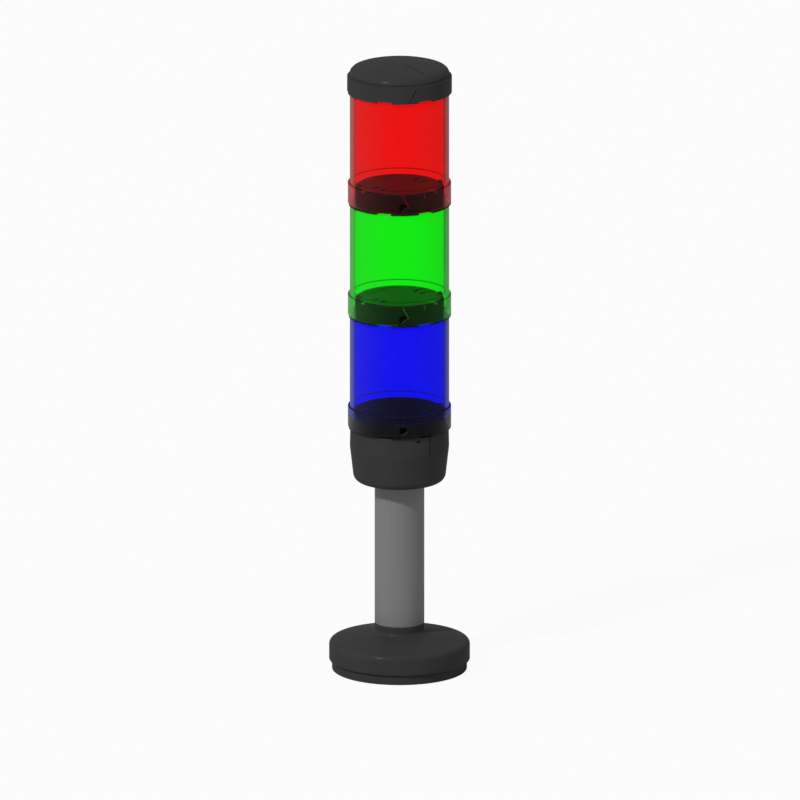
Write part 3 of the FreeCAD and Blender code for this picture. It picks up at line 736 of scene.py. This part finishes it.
def mark_clear(sheets):
    """Marks the small edges and the outer lower lip, which the clear finishes paint dark as painted
    shade, and notes the slant at which a line of sight begins to run along the wall without meeting
    its bore: 1 - sqrt(1 - (bore / r)^2)."""
    for sheet, *_ in sheets:
        radius, level = sheet[..., RADIUS], sheet[..., HEIGHT]
        run = 1 - np.sqrt(1 - np.clip(LENS_BORE / np.maximum(radius, LENS_BORE), 0, 1) ** 2)
        outside = radius > LENS_BORE + 0.3
        on_step = (np.abs(level - COLLAR_TOP) < 0.05) & (radius > LENS_RADIUS + 0.05)
        sheet[..., TURN] = np.where(on_step, STEP_TURN, np.where(outside, run, INNER_TURN))
        # Painted shade: the small edges and the outer lower lip are marked, and the clear finishes
        # draw them dark.
        edge = (sheet[..., WEAR] > 0.3) & (level < COLLAR_TOP + 0.1)
        raise_mark(sheet, ((level < LIP_HEIGHT) & outside) | edge)
        sheet[..., ZONE] = (level > lens_top - 0.01) & (radius < LENS_RADIUS - 0.4)


print("the notches of a collar start and end at", [round(edge % 360, 1) for edge in NOTCH_EDGES])

# %% Lenses and the smoke ring
RIB_RADIUS, RIB_HEIGHT, RIB_HALF, RIB_SHADE = 22.7, 12.3, 0.2, 0.5
ROOF_THICKNESS = 2.1


def with_rib(sheet):
    """Takes the rib away beside the posts and marks what is left of it, which the clear finish
    paints as a dark line of painted shade.
    """
    gap = np.min([np.abs(apart(sheet[..., DIRECTION], m)) for m in POST_MIDDLES], 0)
    radius = sheet[..., RADIUS]
    on_rib = (radius < LENS_BORE) & (np.abs(sheet[..., HEIGHT] - RIB_HEIGHT) < 3 * RIB_HALF)
    # Painted shade: the rib is marked to be drawn as a dark line.
    sheet[..., MARK] = RIB_SHADE * on_rib * (radius < RIB_RADIUS + 0.3)
    free = np.clip((gap - 3.5) / 2.0, 0, 1)
    sheet[..., RADIUS] = np.where(on_rib, LENS_BORE - (LENS_BORE - radius) * free, radius)


def lens(colour):
    """The lens with its collar and bayonet tabs, on its own tier."""
    upper = [
        (COLLAR_RADIUS, COLLAR_TOP, 0.4), (LENS_RADIUS, COLLAR_TOP, 0.25),
        (LENS_RADIUS, lens_top, 0.5), (0, lens_top, 0), (0, lens_top - ROOF_THICKNESS, 0),
        (LENS_BORE, lens_top - ROOF_THICKNESS, 1.2), (LENS_BORE, RIB_HEIGHT + 2 * RIB_HALF, 0.05),
        (RIB_RADIUS, RIB_HEIGHT + RIB_HALF, 0.05), (RIB_RADIUS, RIB_HEIGHT - RIB_HALF, 0.05),
        (LENS_BORE, RIB_HEIGHT - 2 * RIB_HALF, 0.05),
    ]
    if colour == "blue":
        whole = rounded([(LENS_BORE, smoke_top, 0.1), (COLLAR_RADIUS, smoke_top, 0.1), *upper])
        sheets = [ring(turned(refined(whole, 3.0), collar_directions()))]
    else:
        whole = rounded([(LENS_BORE, 0, 0), (COLLAR_RADIUS, 0, 0), *upper])
        sheets = pierced(collar_wall(COLLAR_TOP, refined(whole[2:], 3.0)[:-1]))
    with_rib(sheets[0][0])
    sheets += bayonet([
        (LUG_BORE, lens_top - 0.3, 0.1), (LUG_STEM, lens_top - 0.3, 0.1),
        (LUG_STEM, tier_pitch + LUG_LOW, 0.1), (LUG_RADIUS, tier_pitch + LUG_LOW, 0.2),
        (LUG_RADIUS, tier_pitch + LUG_HIGH, 0.3), (LUG_BORE, tier_pitch + LUG_HIGH, 0.3),
    ], LUG_DIRECTION)
    mark_clear(sheets)
    return build(f"{colour}_clear_cup", sheets, f"{colour}_element",
                 [f"{colour}_lens"], lift=tier_base[colour])


lenses = {colour: lens(colour) for colour in COLOURS}
smoke_rest = rounded([
    (LENS_BORE, 0, 0), (COLLAR_RADIUS, 0, 0), (COLLAR_RADIUS, smoke_top, 0.1),
    (LENS_BORE, smoke_top, 0.1),
])[2:]
smoke_sheets = pierced(collar_wall(smoke_top, smoke_rest))
mark_clear(smoke_sheets)
smoke_ring = build("smoke_collar", smoke_sheets, "blue_element",
                   ["blue_smoke_ring"], lift=tier_base["blue"])

# %% [markdown]
# ## The cap
# The cap closes the top tier. Its crown is a piece of a very large ball, z = top - (R - sqrt(R^2 -
# r^2)), which meets the wall in a soft edge. A line on the crown and a leaning one on the rim show
# the locked place, and the rim has the same notches as the collars. Inside hang three hidden arms
# with the hooks of the bayonet.

# %% Outline of the cap
CAP_RADIUS, CAP_BORE, CAP_WALL, CROWN_BALL = 26.4, 24.3, 25.2, 154.0
RIM_TOP, WALL_LOW, CAP_CEILING = 8.4, 9.4, 10.8
cap_height = cap_top - cap_base


def crown(radius):
    """The crown's height at a radius: the top less the ball's fall."""
    return cap_height - (CROWN_BALL - np.sqrt(CROWN_BALL**2 - radius**2))


edge_path = refined(rounded([
    (CAP_BORE, 0, 0.2), (CAP_RADIUS, 0, 0.3), (CAP_RADIUS, RIM_TOP, 0.25),
    (CAP_WALL, WALL_LOW, 0.5), (CAP_WALL, crown(CAP_WALL), 3.3), (0, cap_height, 0),
    (0, CAP_CEILING, 0), (CAP_BORE, CAP_CEILING, 1.0),
], steps=9), 1.2)
crown_radii = np.array([21.3, 20.2, 19.4, 18.8, 17.5, 15.5, 13, 10.5, 8, 6, 4.6, 3.9, 3.2, 2, 1, 0])
on_top = np.flatnonzero((edge_path[:, 1] > CAP_CEILING + 1.7)
                        & (edge_path[:, 0] < crown_radii[0] + 0.3))
cap_path = np.vstack([
    edge_path[:on_top[0]], profile(crown_radii, crown(crown_radii)), edge_path[on_top[-1] + 1:],
])
print(f"the cap is {cap_height:.2f} mm tall, its wall {crown(CAP_WALL):.2f} mm")

# %% Cap with its lines and arms
CROWN_LINE, CROWN_LINE_ENDS = FRONT + 39.2, (3.5, 19.5)
CROWN_LINE_WIDTH, CROWN_LINE_DEPTH = 0.5, 0.3
RIM_LINE, RIM_LINE_WIDTH, RIM_LINE_ENDS, RIM_LEAN = FRONT + 15.2, 0.8, (0.4, 7.9), 8.5
ARM_RADIUS, ARM_TOP = 21.3, 11.0
line_steps = np.array([0, 0.3, 0.6, 1.1, 1.7, 2.5, 3.5, 5, 7])
cap_sheet = turned(cap_path, joined(
    directions(216, lines=NOTCH_EDGES), CROWN_LINE - line_steps, CROWN_LINE + line_steps,
    groove_columns(RIM_LINE, RIM_LINE_WIDTH),
))
notch(cap_sheet, NOTCH_MIDDLES, NOTCH_WIDTH, NOTCH_HEIGHT)
# Painted shade: the rim line's groove is marked and painted darker.
groove(cap_sheet, RIM_LINE, *RIM_LINE_ENDS, RIM_LINE_WIDTH, LINE_DEPTH, CAP_RADIUS - 0.4,
       lean=RIM_LEAN, reach=9.0)
radius, level = cap_sheet[..., RADIUS], cap_sheet[..., HEIGHT]
# Painted shade: the rim's sloping band is painted a little darker, so it doesn't read lighter where
# the light strikes it, and a thin dark line is painted along the crease at the wall's foot.
shaded_rim_slope = (level > RIM_TOP - 0.1) & (level < WALL_LOW + 0.1) & (radius > CAP_WALL - 0.6)
shaded_crease = shaded_rim_slope & (np.abs(level - WALL_LOW) < 0.12)
raise_mark(cap_sheet, np.maximum(0.2 * shaded_rim_slope, 0.7 * shaded_crease))
line_angle = np.radians(apart(cap_sheet[..., DIRECTION], CROWN_LINE))
on_line = ((radius > CROWN_LINE_ENDS[0]) & (radius < CROWN_LINE_ENDS[1])
           & (level > CAP_CEILING + 0.7) & (np.abs(line_angle) < 0.2))
# Painted shade: the crown line's cut is marked and painted darker.
line_cut = bell(radius * np.sin(line_angle), CROWN_LINE_WIDTH) * on_line
cap_sheet[..., HEIGHT] -= CROWN_LINE_DEPTH * line_cut
raise_mark(cap_sheet, line_cut)
arms = bayonet([
    (HOOK_BORE, HOOK_LOW, 0.2), (ARM_RADIUS, HOOK_LOW, 0.2), (ARM_RADIUS, ARM_TOP, 0.2),
    (SKIRT_BORE, ARM_TOP, 0.2), (SKIRT_BORE, HOOK_HIGH, 0.2), (HOOK_BORE, HOOK_HIGH, 0.2),
], HOOK_DIRECTION)
build("crowned_cap", [ring(cap_sheet), *arms], "cap", ["cap"], lift=cap_base)

# %% [markdown]
# ## Writing materials as sums
# A material is a tree of nodes. Linking dozens of Math nodes by hand hides the idea, so a small
# class wraps a socket: adding or multiplying two of them places the Math node and links it. Colours
# go through Mix nodes instead, because a Math node would turn them grey.

# %% A socket that can be summed
def found(sockets, key):
    """The socket with a number, or the one in use with a name or identifier."""
    if isinstance(key, int):
        return sockets[key]
    return next(s for s in sockets if key in (s.identifier, s.name) and s.enabled)


class Wire:
    """One output socket of a node tree, or a sum of such sockets."""

    def __init__(self, tree, socket):
        self.tree, self.socket = tree, socket

    @staticmethod
    def place(tree, kind, settings=None, inputs=None, output=0):
        """Adds a node of a kind, sets its settings, then fills its sockets with values or links."""
        node = tree.nodes.new(kind)
        for key, value in (settings or {}).items():
            setattr(node, key, value)
        for key, value in (inputs or {}).items():
            if isinstance(value, Wire):
                tree.links.new(value.socket, found(node.inputs, key))
            else:
                found(node.inputs, key).default_value = value
        return Wire(tree, found(node.outputs, output)) if len(node.outputs) else None

    def sum(self, operation, first, second):
        """The Math node for two terms, either of which may be a number."""
        terms = {0: first, 1: second}
        return self.place(self.tree, "ShaderNodeMath", {"operation": operation}, terms)

    def __add__(self, other):
        return self.sum("ADD", self, other)

    def __sub__(self, other):
        return self.sum("SUBTRACT", self, other)

    def __rsub__(self, other):
        return self.sum("SUBTRACT", other, self)

    def __mul__(self, other):
        return self.sum("MULTIPLY", self, other)

    __radd__, __rmul__ = __add__, __mul__

    def kept(self):
        """The value held between 0 and 1."""
        return self.place(self.tree, "ShaderNodeClamp", inputs={"Value": self})


# %% [markdown]
# ## Patterns that finishes share
# Moulded plastic, drawn metal and painted board all need the same few patterns: a fine grain, a
# slow drift, and what the meshes carry. They are all read in the piece's own coordinates, so that
# they don't slide when a tier is turned.

# %% Shared patterns
def new_tree(owner):
    """The empty node tree of a material or world."""
    owner.use_nodes = True
    owner.node_tree.nodes.clear()
    return owner.node_tree


def finished(tree, shader):
    """Links a shader to a material's output."""
    Wire.place(tree, "ShaderNodeOutputMaterial", inputs={"Surface": shader})


def grey(level):
    """A neutral colour, as red, green, blue and alpha."""
    return (level, level, level, 1)


def scaled(colour, share):
    """A colour made lighter or darker, with its alpha."""
    return (*(share * part for part in colour), 1)


def grain(tree, scale, detail, stretch=(1, 1, 1)):
    """Noise from 0 to 1 on object coordinates, stretched along an axis where asked."""
    here = Wire.place(tree, "ShaderNodeTexCoord", output="Object")
    moved = Wire.place(tree, "ShaderNodeMapping", inputs={"Vector": here, "Scale": stretch})
    return Wire.place(tree, "ShaderNodeTexNoise", inputs={
        "Vector": moved, "Scale": scale, "Detail": detail})


def carried(tree, label):
    """A number that the mesh carries at its points."""
    return Wire.place(tree, "ShaderNodeAttribute", {"attribute_name": label}, output="Fac")


def mixed(tree, share, first, second):
    """A colour between two others."""
    return Wire.place(tree, "ShaderNodeMix", {"data_type": "RGBA"}, {
        "Factor_Float": share, "A_Color": first, "B_Color": second}, "Result_Color")


def bumped(tree, height, depth):
    """The normal that a height pattern gives, with its depth in metres."""
    return Wire.place(tree, "ShaderNodeBump", inputs={
        "Height": height, "Distance": depth, "Strength": 1.0})


def shader(tree, kind, **inputs):
    """A shader of a kind. An underscore in a socket's name stands for a space."""
    return Wire.place(tree, f"ShaderNode{kind}", inputs={
        key.replace("_", " "): value for key, value in inputs.items()})


def blended(tree, share, first, second):
    """Two shaders, the second one by the share."""
    return Wire.place(tree, "ShaderNodeMixShader", inputs={0: share, 1: first, 2: second})


# %% [markdown]
# ## Black moulded plastic
# The housing, foot and cap are glass-filled plastic from a spark-eroded mould: matt, with a grain
# of a few tenths of a millimetre. Edges are rubbed a little lighter. The marks are painted: on
# these mouldings the engraved lines, the cap's rim slope and its crease are painted darker, as
# painted shade with some dust, and on the inserts the marks are painted lighter, as painted
# highlights.

# %% Black plastics
def black_plastic(name, level, roughness, grain_depth, line, deck=None, polish=0.0):
    """Matt black plastic. line is the tone of its marks, painted shade where it is darker than the
    plastic and a painted highlight where it is lighter; deck is the tone of an insert's upper face,
    and polish the share of a thin gloss."""
    material = bpy.data.materials.new(name)
    tree = new_tree(material)
    fine, drift = grain(tree, 2600, 3), grain(tree, 55, 4)
    rubbed = (carried(tree, "wear") * (grain(tree, 420, 4) * 1.6 - 0.35)).kept()
    tone = (drift * 0.30 + fine * 0.24 + 0.23).kept()
    body = mixed(tree, tone, grey(level * 0.5), grey(level * 1.5))
    body = mixed(tree, rubbed * 0.25, body, grey(level * 2.0))
    if deck:
        body = mixed(tree, carried(tree, "zone"), body, grey(deck))
    # Painted shade or painted highlight: the marked places take the line tone.
    body = mixed(tree, carried(tree, "mark") * 0.95, body, grey(line))
    rough = roughness + (drift - 0.5) * 0.16 + (fine - 0.5) * 0.12 - rubbed * 0.1
    finished(tree, shader(
        tree, "BsdfPrincipled", Base_Color=body, Roughness=rough.kept(), Specular_IOR_Level=0.02,
        Coat_Weight=(polish * (0.6 + 0.8 * drift)).kept(), Coat_Roughness=0.2,
        Normal=bumped(tree, fine, grain_depth)))
    return material


# The moulded marks are painted shade (line darker than the plastic); the inserts' marks are painted
# highlights (line lighter).
moulded = black_plastic("moulded_black", 0.038, 0.6, 0.00004, line=0.002, polish=0.06)
insert_black = black_plastic("insert_black", 0.006, 0.55, 0.00003, line=0.10)
insert_grey = black_plastic("insert_grey_deck", 0.014, 0.55, 0.00003, line=0.36, deck=0.155)
print("black plastics:", [m.name for m in (moulded, insert_black, insert_grey)])

# %% [markdown]
# ## The drawn tube
# The tube is grey anodised aluminium. Drawing leaves faint lines along it, so the noise is
# stretched a long way in height: it changes quickly round the tube and slowly along it.

# %% Tube finish
def drawn_metal(name, level, roughness, metallic):
    """Satin metal with fine lines along the height."""
    material = bpy.data.materials.new(name)
    tree = new_tree(material)
    lines, drift = grain(tree, 900, 3, (1, 1, 0.012)), grain(tree, 40, 3, (1, 1, 0.3))
    tone = mixed(tree, lines * 0.5 + drift * 0.5, grey(level * 0.84), grey(level * 1.16))
    rough = roughness + (lines - 0.5) * 0.14 + (drift - 0.5) * 0.08
    finished(tree, shader(
        tree, "BsdfPrincipled", Metallic=metallic, Roughness=rough.kept(), Specular_IOR_Level=0.15,
        # Painted highlight, with bare metal: the small rounded edges are painted lighter.
        Base_Color=mixed(tree, carried(tree, "wear").kept() * 0.6, tone, grey(level * 1.9)),
        Normal=bumped(tree, lines, 0.000012)))
    return material


tube_metal = drawn_metal("anodised_tube", 0.2, 0.55, 0.08)
screw_steel = drawn_metal("screw_steel", 0.32, 0.35, 0.9)
print("metals:", tube_metal.name, screw_steel.name)

# %% [markdown]
# ## Clear coloured plastic
# Real clear plastic bends light very little over a thin wall, so a Transparent shader stands in for
# it: it lets light through, tinted, and what is inside stays lit. A second, solid shader is mixed
# in where the wall is seen at a slant, because there the light runs a long way through it. A thin
# grey film stands for dust. The small edges, the inner rib and the outer lower lip are drawn as
# dark lines: painted shade where light leaves the thick plastic sideways.

# %% Clear plastics
def clear_plastic(name, through, own, least, rise, square, run, edge):
    """A tinted clear wall: through is the colour one face lets pass, own the colour it scatters.

    A grey film hides the share called least. What the wall scatters itself has the share rise *
    slant + square * slant^2, and more by run where the line of sight stays inside the wall. Its
    marked places, the small edges, rib and lip, are painted dark by the share edge: painted shade.
    """
    material = bpy.data.materials.new(name)
    tree = new_tree(material)
    slant = Wire.place(tree, "ShaderNodeLayerWeight", inputs={"Blend": 0.5}, output="Facing")
    haze, turn = grain(tree, 160, 3), carried(tree, "turn")
    along = ((slant - turn + 0.075) * (1 / 0.14)).kept()
    outer_face = 1 - (turn - 1).kept()
    film = ((least + (haze - 0.5) * 0.02) * outer_face).kept()
    share = ((slant * rise + slant * slant * square) * outer_face + along * run).kept()
    clear_wall = blended(tree, carried(tree, "zone"),
                         shader(tree, "BsdfTransparent", Color=(*through, 1)),
                         shader(tree, "BsdfTransparent", Color=grey(0.97)))
    tone = mixed(tree, haze, scaled(own, 0.9), scaled(own, 1.1))
    solid = shader(tree, "BsdfPrincipled", Base_Color=tone, Specular_IOR_Level=0.1,
                   Roughness=(0.26 + haze * 0.1).kept())
    film_tone = mixed(tree, haze, grey(0.12), grey(0.16))
    dust = shader(tree, "BsdfDiffuse", Color=film_tone, Roughness=0.3)
    wall = blended(tree, share, blended(tree, film, clear_wall, dust), solid)
    # Painted shade: a near-black diffuse drawn over the marked edges, rib and lip.
    line = shader(tree, "BsdfDiffuse", Color=grey(0.008))
    finished(tree, blended(tree, carried(tree, "mark") * edge, wall, line))
    return material


COLOUR_RISE = dict(least=0.05, rise=0.24, square=0.0, run=0.52, edge=0.85)
clear = {
    "red": clear_plastic("clear_red", (0.985, 0.2, 0.2), (0.45, 0.115, 0.115), **COLOUR_RISE),
    "green": clear_plastic("clear_green", (0.2, 0.985, 0.2), (0.11, 0.45, 0.11), **COLOUR_RISE),
    "blue": clear_plastic("clear_blue", (0.2, 0.2, 0.985), (0.11, 0.11, 0.46), **COLOUR_RISE),
}
smoke = clear_plastic("clear_smoke", (0.34, 0.34, 0.345), (0.11, 0.11, 0.112),
                      least=0.07, rise=0.0, square=1.2, run=0.0, edge=0.3)
print("clear plastics:", [material.name for material in (*clear.values(), smoke)])

# %% [markdown]
# ## Board, lamps and contacts
# These small pieces sit in the dark under the inserts, and only the lamps and the contact strips
# along the wall show. They keep their CAD meshes, and each still gets its own finish.

# %% Inner finishes
def plain_finish(name, colour, spread, roughness, metallic, scale, depth):
    """A finish for a small inner piece: two tones in a noise pattern, with its own grain."""
    material = bpy.data.materials.new(name)
    tree = new_tree(material)
    pattern, fine = grain(tree, scale, 3), grain(tree, scale * 6, 2)
    finished(tree, shader(
        tree, "BsdfPrincipled", Metallic=metallic,
        Base_Color=mixed(tree, pattern, scaled(colour, 1 - spread), scaled(colour, 1 + spread)),
        Roughness=(roughness + (fine - 0.5) * 0.2).kept(), Normal=bumped(tree, fine, depth)))
    return material


by_slot = {
    "board": plain_finish("board_green", (0.012, 0.075, 0.03), 0.35, 0.35, 0.0, 500, 1e-5),
    "lamp": plain_finish("lamp_epoxy", (0.012, 0.011, 0.009), 0.2, 0.25, 0.0, 700, 1e-5),
    "contact_brass": plain_finish("contact_brass", (0.36, 0.27, 0.12), 0.15, 0.32, 1.0, 600, 5e-6),
    "strip": plain_finish("tinned_strip", (0.74, 0.73, 0.7), 0.1, 0.4, 0.25, 600, 5e-6),
    "inner_black": plain_finish("block_black", (0.025, 0.025, 0.025), 0.2, 0.6, 0.0, 900, 2e-5),
    "steel": screw_steel,
}
print("inner finishes:", list(by_slot))

# %% [markdown]
# ## Dress every piece
# New pieces take their finish by name. CAD nodes keep their meshes, and their material slots are
# filled with the new finishes.

# %% Hand out the finishes
def dress(piece, material):
    """Puts one material on all of a piece."""
    for place in range(len(piece.data.materials)):
        piece.data.materials[place] = material
    if not piece.data.materials:
        piece.data.materials.append(material)


for label in ("plate_with_screw_holes", "foot_cone", "housing_with_marks", "crowned_cap"):
    dress(bpy.data.objects[label], moulded)
dress(bpy.data.objects["tube"], tube_metal)
dress(smoke_ring, smoke)
inner_nodes = {
    "tube_spigot": "inner_black", "terminal_cover": "inner_black", "terminal_block": "inner_black",
    "base_contact_block": "inner_black", "housing_grub_screw": "steel",
}
for colour in COLOURS:
    dress(lenses[colour], clear[colour])
    dress(inserts[colour], insert_black if colour == "blue" else insert_grey)
    inner_nodes |= {
        f"{colour}_led_board": "board", f"{colour}_lamps": "lamp",
        f"{colour}_contact_springs": "contact_brass", f"{colour}_contact_strips": "strip",
        f"{colour}_contact_block": "inner_black",
    }
for node, slot in inner_nodes.items():
    dress(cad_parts[node], by_slot[slot])
print("inner nodes dressed:", len(inner_nodes))

# %% [markdown]
# ## The floor
# The column stands on a plain pale floor. For the eye the floor is nearly white of its own accord,
# mixed in by Light Path, so no more light has to fall on the object, and the rest of its surface is
# matt and keeps the shadow.

# %% Floor
FLOOR_WHITE, FLOOR_STEPS = 0.94, 96
angle = np.linspace(0, 2 * np.pi, FLOOR_STEPS, endpoint=False)
radius = np.array([0.0, 0.5, 4.0])[:, None]
x, y = radius * np.cos(angle), radius * np.sin(angle)
floor_points = np.stack([x, y, np.full_like(x, -0.0002)], 2).reshape(-1, 3)
floor_mesh = bpy.data.meshes.new("floor")
floor_mesh.from_pydata(floor_points.tolist(), [],
                       sheet_faces(len(radius), FLOOR_STEPS, False, True).tolist())
merged(floor_mesh)
floor = placed("floor", floor_mesh)


def seen_share(tree):
    """1 for a ray from the eye, also one that has passed a clear wall, and 0 for any other."""
    return (Wire.place(tree, "ShaderNodeLightPath", output="Is Camera Ray")
            + Wire.place(tree, "ShaderNodeLightPath", output="Is Transmission Ray")).kept()


pale_floor = bpy.data.materials.new("pale_floor")
tree = new_tree(pale_floor)
matt = shader(tree, "BsdfDiffuse", Color=mixed(tree, grain(tree, 30, 4), grey(0.58), grey(0.62)))
white = shader(tree, "Emission", Color=grey(1.0), Strength=1.0)
finished(tree, blended(tree, seen_share(tree) * FLOOR_WHITE, matt, white))
dress(floor, pale_floor)
print("floor:", len(floor_mesh.polygons), "faces")

# %% [markdown]
# ## Light
# A soft light comes from the upper left, like a window, in a room with an even, dimmer light all
# round. The room too is nearly white for the eye only.

# %% Light
def aim(thing, towards):
    """Turns a lamp or camera so that it looks away from a direction."""
    thing.rotation_mode = "QUATERNION"
    thing.rotation_quaternion = towards.to_track_quat("Z", "Y")


ROOM_LEVEL, ROOM_SEEN, SUN_LEVEL = 0.42, 0.978, 2.05
SUN_SPREAD, SUN_AZIMUTH, SUN_HEIGHT = np.radians([4, -40, 42.4])
world = bpy.data.worlds.new("studio")
bpy.context.scene.world = world
sky = new_tree(world)
room = shader(sky, "Background", Color=grey(1.0),
              Strength=ROOM_LEVEL + seen_share(sky) * (ROOM_SEEN - ROOM_LEVEL))
Wire.place(sky, "ShaderNodeOutputWorld", inputs={"Surface": room})
sun = placed("window_light", bpy.data.lights.new("window_light", "SUN"))
sun.data.energy, sun.data.angle = SUN_LEVEL, SUN_SPREAD
towards = Vector((np.sin(SUN_AZIMUTH) * np.cos(SUN_HEIGHT),
                  -np.cos(SUN_AZIMUTH) * np.cos(SUN_HEIGHT), np.sin(SUN_HEIGHT)))
aim(sun, towards)
print("sun", SUN_LEVEL, "in a room of", ROOM_LEVEL)

# %% [markdown]
# ## Camera
# The camera has no perspective, like a drawing: it looks down by 15 degrees from the front.

# %% Camera
VIEW_WIDTH, VIEW_MIDDLE, VIEW_DISTANCE = 0.4028, Vector((0.00025, 0, 0.1397)), 1.5
elevation = np.radians(15)
camera = placed("camera", bpy.data.cameras.new("camera"))
camera.data.type, camera.data.ortho_scale, camera.data.clip_end = "ORTHO", VIEW_WIDTH, 20
back = Vector((0, -np.cos(elevation), np.sin(elevation)))
camera.location = VIEW_MIDDLE + VIEW_DISTANCE * back
aim(camera, back)
bpy.context.scene.camera = camera
bpy.context.scene.view_settings.view_transform = "Standard"
print("camera at", [round(part, 3) for part in camera.location])
